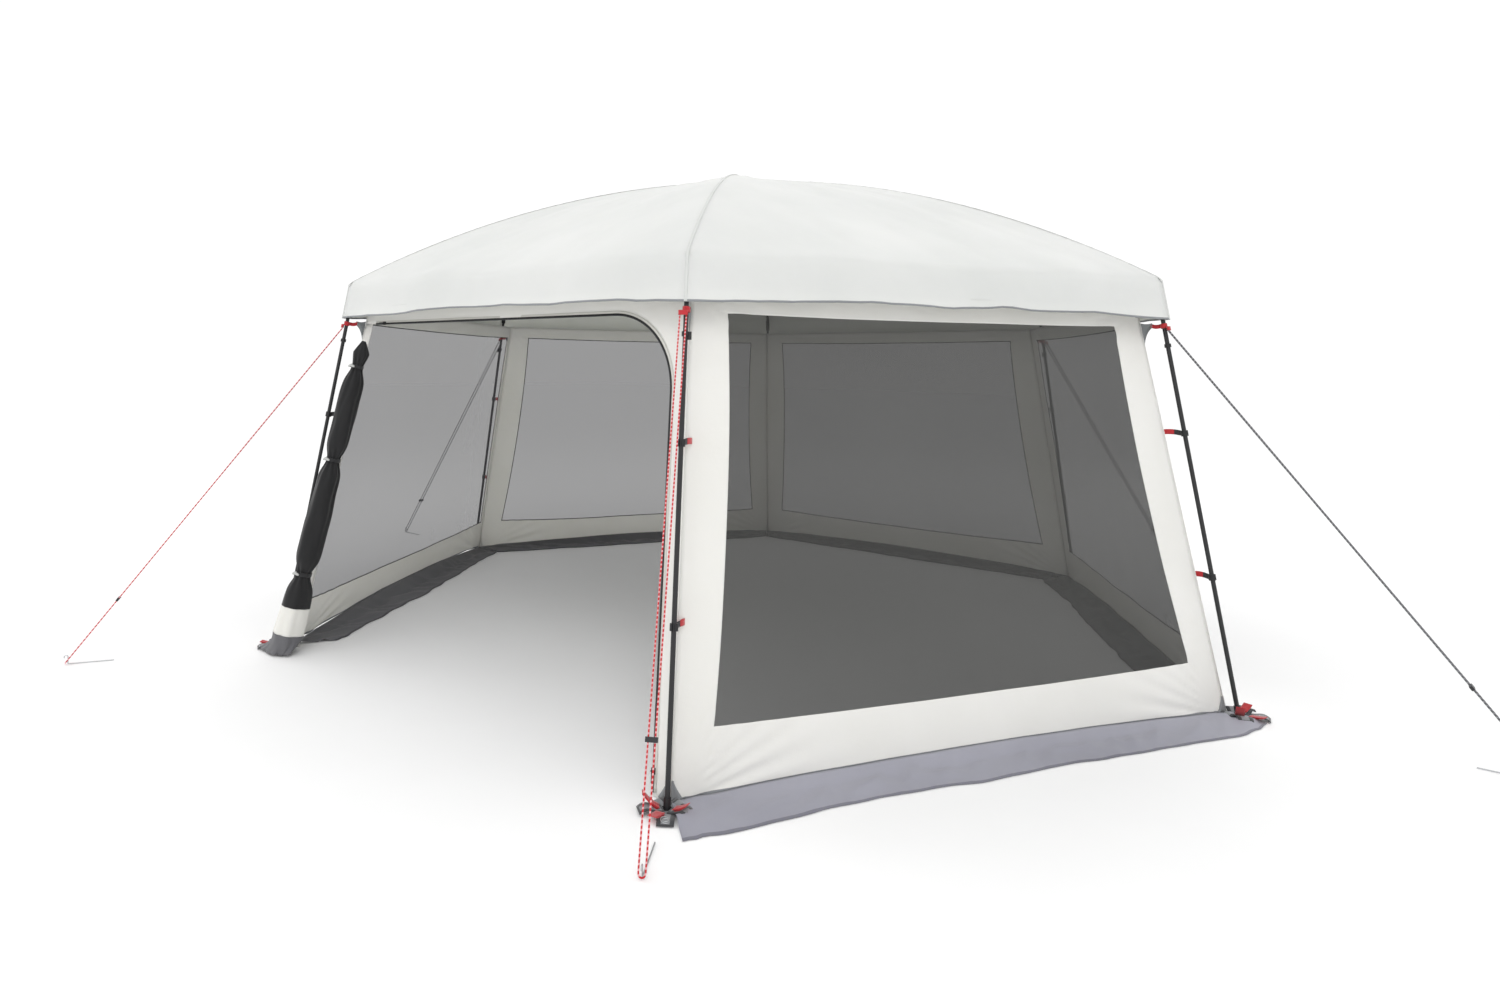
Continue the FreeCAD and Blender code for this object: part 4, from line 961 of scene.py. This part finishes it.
skirt_width = 0.170
skirt_columns = 110
skirt_rows = 16
skirt_mesh = bmesh.new()
for number, wall in enumerate(name for name in wall_angles if name != "front"):
    outside = wall == "right_front"
    half = wall_foot_radius / 2 - 0.004
    strip = grid(skirt_mesh, skirt_columns, skirt_rows)
    for face in faces_of(strip):
        bound_edge = face.calc_center_median().y > 0.5 - 1 / skirt_rows
        # Turned-in skirts and their binding take the darker copies of the cloth: painted shade.
        face.material_index = (3 if outside else 2) if bound_edge else 0 if outside else 1
    for vertex in strip:
        share = vertex.co.y + 0.5
        side = vertex.co.x * 2
        hem = hem_height(wall, side)
        loose = slack(half * side, hem, number * 7.7 + 3) + fabric
        hem_apothem = foot_apothem - hem * math.sin(wall_lean) + loose * math.cos(wall_lean)
        fall = min(1, share / 0.42)
        height = (hem + 0.004) * (1 - fall * fall * (3 - 2 * fall))
        wave = noise.noise(Vector((side * 2.6, number * 9.1, 0.5))) * 0.020
        wave += noise.noise(Vector((side * 9.0, number * 5.7, 2.5))) * 0.012
        ripple = abs(noise.noise(Vector((side * 6.0, share * 2, number * 4.4)))) * 0.018
        crease_phase = side * 23 + share * 5 + noise.noise(Vector((side * 4, number, 0))) * 5
        crease = abs(math.sin(crease_phase)) ** 6 * 0.009
        height += (ripple + crease) * math.sin(math.pi * share) + 0.0018
        depth = skirt_width * share + wave * share
        along = half * side
        if outside:
            pull = max(0, (side - 0.90) / 0.10)
            along += 0.055 * pull * pull * share
            splay = math.exp(-(((side + 1) / 0.4) ** 2))
            along -= 0.045 * splay * share
            depth *= (1 - 0.30 * pull * pull) * (1 + 0.28 * splay)
            apothem = hem_apothem + depth + 0.0025
        else:
            along -= side * depth / math.sqrt(3)
            apothem = hem_apothem - depth - 0.0025
        vertex.co = Vector((apothem, along, height))
    turn_about_crown(skirt_mesh, strip, wall_angles[wall])
# Painted shade: the turned-in skirts' binding is a darker copy of the outside one.
shaded_skirt_binding = polyester("skirt binding, darkened for painted shade", "#46464B", "#39393E", 0.0, 0.003, 0.2)
pale_binding = polyester("lavender grey skirt binding", "#7B7B85", "#6C6C76", 0.0, 0.003, 0.2)
skirts = finish_mesh("skirt_cloth", skirt_mesh, [skirt_cloth, shaded_skirt_cloth, shaded_skirt_binding, pale_binding])
thicken(skirts, 0.0014)
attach(skirts, "house")
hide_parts("ground_skirts")

# ---------------------------------------------------------------- corner seams and eave strips
# The walls meet in a piped seam at each corner, with a grey patch at its foot. At the top a strip
# of roof cloth closes the gap between the walls and the roof.

piping_radius = 0.003
corner_seam_mesh = bmesh.new()
for corner in corner_angles:
    turn = corner_place(corner)
    low_end = turn @ Vector((wall_foot_radius + 0.001, 0, 0.008))
    high_end = turn @ Vector((wall_top_radius + 0.001, 0, wall_top - 0.004))
    run = high_end - low_end
    cord = bmesh.ops.create_cone(
        corner_seam_mesh,
        cap_ends=True,
        segments=10,
        radius1=piping_radius,
        radius2=piping_radius,
        depth=run.length,
    )["verts"]
    aim = run.to_track_quat("Z", "X").to_matrix().to_4x4()
    placed = Matrix.Translation((low_end + high_end) / 2) @ aim
    bmesh.ops.transform(corner_seam_mesh, matrix=placed, verts=cord)
corner_seams = finish_mesh("corner_piping", corner_seam_mesh, [wall_cloth])
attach(corner_seams, "house")

patch_height = 0.055
patch_width = 0.034
foot_patch_cloth = polyester("grey coated foot patch", "#8B8E90", "#7C7F81", 0.0, 0.003, 0.12)
patch_mesh = bmesh.new()
for wall in wall_angles:
    for side in (-1, 1):
        triangle = grid(patch_mesh, 8, 14)
        for vertex in triangle:
            up = 0.004 + (vertex.co.y + 0.5) * patch_height
            width = 0.006 + patch_width * (1 - (vertex.co.y + 0.5)) ** 1.3
            x = side * (half_width(up) - 0.002 - (vertex.co.x + 0.5) * width)
            vertex.co = Vector((x, up, fabric * 2 + 0.0015 + 0.001 * math.sin(vertex.co.x * 9)))
        bmesh.ops.transform(patch_mesh, matrix=wall_frame(wall), verts=triangle)
foot_patches = strap_piece("corner_foot_patches", patch_mesh, [foot_patch_cloth], 0.0014)
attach(foot_patches, "house")

band_low, band_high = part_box("eave_band")
strip_inner = top_apothem + 0.001
strip_outer = band_high.y - 0.001
eave_mesh = bmesh.new()
for wall_angle in wall_angles.values():
    closing = grid(eave_mesh, 8, 60)
    for vertex in closing:
        share = vertex.co.x + 0.5
        apothem = strip_inner + (strip_outer - strip_inner) * share
        along = vertex.co.y * wall_top_radius
        ripple = noise.noise(Vector((along * 5, share, wall_angle)))
        droop = 0.002 * ripple - 0.005 * math.sin(math.pi * share)
        vertex.co = Vector((apothem, along, (band_low.z + band_high.z) / 2 + droop))
    turn_about_crown(eave_mesh, closing, wall_angle)
eave_strips = strap_piece("eave_closing_strips", eave_mesh, [roof_cloth], 0.0012)
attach(eave_strips, "house")
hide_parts("eave_band")

# ---------------------------------------------------------------- gussets and eave straps
# A grey gusset runs from each corner seam out to the pole, where a strap of red webbing wraps
# round the pole and holds the guy line in a folded loop.

red_webbing = webbing("red polypropylene webbing", "#CF1F2A", "#98151E")
grey_webbing = webbing("grey polypropylene webbing", "#8F9193", "#74767A")
edge_webbing = webbing("dark webbing edge", "#3A3B3E", "#2B2C2F")
gusset_cloth = polyester("grey coated gusset", "#868A8C", "#787C7E", 0.0, 0.003, 0.1)
gusset_top = 1.482
gusset_foot = 1.400
gusset_tip = 0.018
tip_gap = 0.040
seam_gap = 0.004
strap_height = 1.470
pole_lean = Vector((-(foot_radius - eave_radius), 0, eave_height)).normalized()


def seam_at(height):
    """The walls' corner seam in its corner's frame."""
    share = height / wall_top
    return Vector((wall_foot_radius + (wall_top_radius - wall_foot_radius) * share, 0, height))


pole_side = Vector((0, 1, 0))
pole_front = pole_side.cross(pole_lean)
gusset_mesh = bmesh.new()
eave_strap_mesh = bmesh.new()
for corner in corner_angles:
    turn = corner_place(corner)
    tip = pole_at(gusset_top) - Vector((tip_gap, 0, 0))
    sheet = grid(gusset_mesh, 16, 10)
    for vertex in sheet:
        out = vertex.co.x + 0.5
        down = 0.5 - vertex.co.y
        depth = (gusset_top - gusset_foot) * (1 - out) + gusset_tip * out - 0.012 * math.sin(math.pi * out)
        height = gusset_top - depth * down - 0.004 * math.sin(math.pi * out)
        start = seam_at(height).x + seam_gap
        spot = Vector((start + (tip.x - start) * out, 0, height))
        spot.y = 0.006 * math.sin(math.pi * out) * math.sin(math.pi * down)
        vertex.co = turn @ spot
    pole = pole_at(strap_height)

    def wrap(share, pole=pole, turn=turn):
        angle = share * 2 * math.pi
        swell = 0.0108 + 0.0016 * share
        return turn @ (pole + (pole_side * math.cos(angle) + pole_front * math.sin(angle)) * swell)

    def tongue(share, pole=pole, tip=tip, turn=turn):
        start = Vector((tip.x - 0.006, 0.0015, strap_height + 0.002))
        droop = Vector((0, 0, 0.004 * math.sin(math.pi * share)))
        return turn @ (start.lerp(pole - Vector((0.010, 0, 0)), share) - droop)

    def line_loop(share, pole=pole, turn=turn):
        angle = (share - 0.5) * 1.7 * math.pi
        bend = Vector((0.018 + 0.006 * math.cos(angle), -0.007 + 0.015 * math.sin(angle), -0.010))
        return turn @ (pole + bend)

    strap_up = turn.to_3x3() @ pole_lean
    ribbon(eave_strap_mesh, 36, wrap, lambda share, up=strap_up: up * 0.0095)
    ribbon(eave_strap_mesh, 10, tongue, lambda share: Vector((0, 0, 0.008)))
    ribbon(eave_strap_mesh, 24, line_loop, lambda share, up=strap_up: up * 0.008)
gussets = strap_piece("eave_gussets", gusset_mesh, [gusset_cloth], 0.0015)
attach(gussets, "house")
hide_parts("corner_gussets")
eave_wraps = strap_piece("eave_wraps", eave_strap_mesh, [red_webbing], 0.0018)
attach(eave_wraps, "house")
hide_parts("eave_straps")

# ---------------------------------------------------------------- pole clip straps
# Each snap clip on a leg is sewn to the walls' corner by a short strap: a black tongue at the clip
# and folded red webbing at the wall.

clip_heights = (1.050, 0.505)
# Each layer's span from the wall to the pole, its lift and its material: the fold, then the tongue.
clip_layers = (((0, 0.62), 0.0022, 0), ((0, 0.62), -0.0022, 0), ((0.5, 1), 0, 1))
clip_strap_mesh = bmesh.new()
for corner in corner_angles:
    turn = corner_place(corner)
    for height in clip_heights:
        wall_end = seam_at(height) + Vector((-0.009, 0.022, 0))
        pole_end = pole_at(height) - Vector((0.011, -0.002, 0))
        for spans, lift, material in clip_layers:

            def strap(share, ends=(wall_end, pole_end), spans=spans, lift=lift, turn=turn):
                along = spans[0] + (spans[1] - spans[0]) * share
                spot = ends[0].lerp(ends[1], along)
                spot.z += 0.003 * math.sin(math.pi * along)
                spot.y += lift * math.sin(math.pi * min(1, share * 1.02)) + 0.004 * math.sin(math.pi * along)
                return turn @ spot

            ribbon(clip_strap_mesh, 14, strap, lambda share: Vector((0, 0, 0.010)), material)
clip_straps = strap_piece("clip_webbing", clip_strap_mesh, [red_webbing, tie_webbing], 0.0016)
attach(clip_straps, "house")
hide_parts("clip_straps")

# ---------------------------------------------------------------- feet
# Under each foot lies a cross of grey webbing with dark edges and a steel eyelet for a ground peg.
# Folded red loops at its sides pull the walls' corner tight.

arm_half = 0.028
main_arm_angle = 0.12
eyelet_out = 0.078
# A cross arm's angle and length.
cross_arms = ((main_arm_angle, 0.100), (2.2, 0.058), (-2.2, 0.058), (1.25, 0.076), (-1.15, 0.086))
# A loop's angle, where it starts, how far it reaches and how high it rises.
side_loops = ((1.25, 0.024, 0.068, 0.022), (-1.35, 0.022, 0.072, 0.044), (-0.30, 0.040, 0.092, 0.012))
foot_cross_mesh = bmesh.new()
foot_loop_mesh = bmesh.new()
eyelet_mesh = bmesh.new()
foot_spot = Vector((foot_radius, 0, 0))
for number, corner in enumerate(corner_angles):
    turn = corner_place(corner)
    for arm, (angle, length) in enumerate(cross_arms):
        ahead = Vector((math.cos(angle), math.sin(angle), 0))
        beside = Vector((-ahead.y, ahead.x, 0))
        lift = 0.010 + 0.016 * (0.5 + noise.noise(Vector((number * 3.7, arm * 2.9, 0.7))))

        def arm_path(share, ahead=ahead, length=length, lift=lift, arm=arm):
            height = 0.0035 + 0.0011 * arm + lift * math.sin(math.pi * share ** 1.4) * share
            return foot_spot + ahead * (0.013 + (length - 0.013) * share) + Vector((0, 0, height))

        def arm_width(share, beside=beside):
            return beside * (arm_half * (1 - 0.12 * share))

        verts = ribbon(foot_cross_mesh, 14, arm_path, arm_width)
        rim = {edge for vertex in verts for edge in vertex.link_edges if edge.is_boundary}
        for face in {face for edge in rim for face in edge.link_faces}:
            face.material_index = 1
        bmesh.ops.transform(foot_cross_mesh, matrix=turn, verts=verts)
    for angle, start, reach, rise in side_loops:
        ahead = Vector((math.cos(angle), math.sin(angle), 0))
        beside = Vector((-ahead.y, ahead.x, 0))

        def loop_path(share, ahead=ahead, start=start, reach=reach, rise=rise):
            fold = math.sin(math.pi * share)
            out = start + (reach - start) * fold
            height = 0.007 + rise * fold ** 1.4 + 0.006 * share
            return foot_spot + ahead * out + Vector((0, 0, height))

        verts = ribbon(foot_loop_mesh, 24, loop_path, lambda share, beside=beside: beside * 0.015)
        bmesh.ops.transform(foot_loop_mesh, matrix=turn, verts=verts)
    main_arm = Vector((math.cos(main_arm_angle), math.sin(main_arm_angle), 0))
    eyelet_centre = turn @ (foot_spot + main_arm * eyelet_out + Vector((0, 0, 0.0105)))
    for major, minor, tilt in ((0.0085, 0.0018, 0), (0.014, 0.0014, 0.25)):
        bead = bmesh.ops.create_circle(eyelet_mesh, segments=10, radius=minor)["verts"]
        edges = list({edge for vertex in bead for edge in vertex.link_edges})
        bmesh.ops.rotate(eyelet_mesh, verts=bead, cent=(0, 0, 0), matrix=Matrix.Rotation(math.pi / 2, 3, "X"))
        bmesh.ops.translate(eyelet_mesh, verts=bead, vec=(major, 0, 0))
        before = set(eyelet_mesh.verts) - set(bead)
        bmesh.ops.spin(
            eyelet_mesh,
            geom=bead + edges,
            cent=(0, 0, 0),
            axis=(0, 0, 1),
            angle=2 * math.pi,
            steps=28,
            use_merge=True,
        )
        ring = [vertex for vertex in eyelet_mesh.verts if vertex not in before]
        placed = Matrix.Translation(eyelet_centre) @ Matrix.Rotation(tilt, 4, "Y")
        bmesh.ops.transform(eyelet_mesh, matrix=placed, verts=ring)
foot_crosses = strap_piece("foot_crosses", foot_cross_mesh, [grey_webbing, edge_webbing], 0.0018)
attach(foot_crosses, "house")
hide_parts("foot_tabs")
foot_loops = strap_piece("foot_loop_straps", foot_loop_mesh, [red_webbing], 0.0018)
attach(foot_loops, "house")
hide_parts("foot_loops")
eyelets = finish_mesh("foot_eyelets", eyelet_mesh, [zinc_wire])
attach(eyelets, "house")
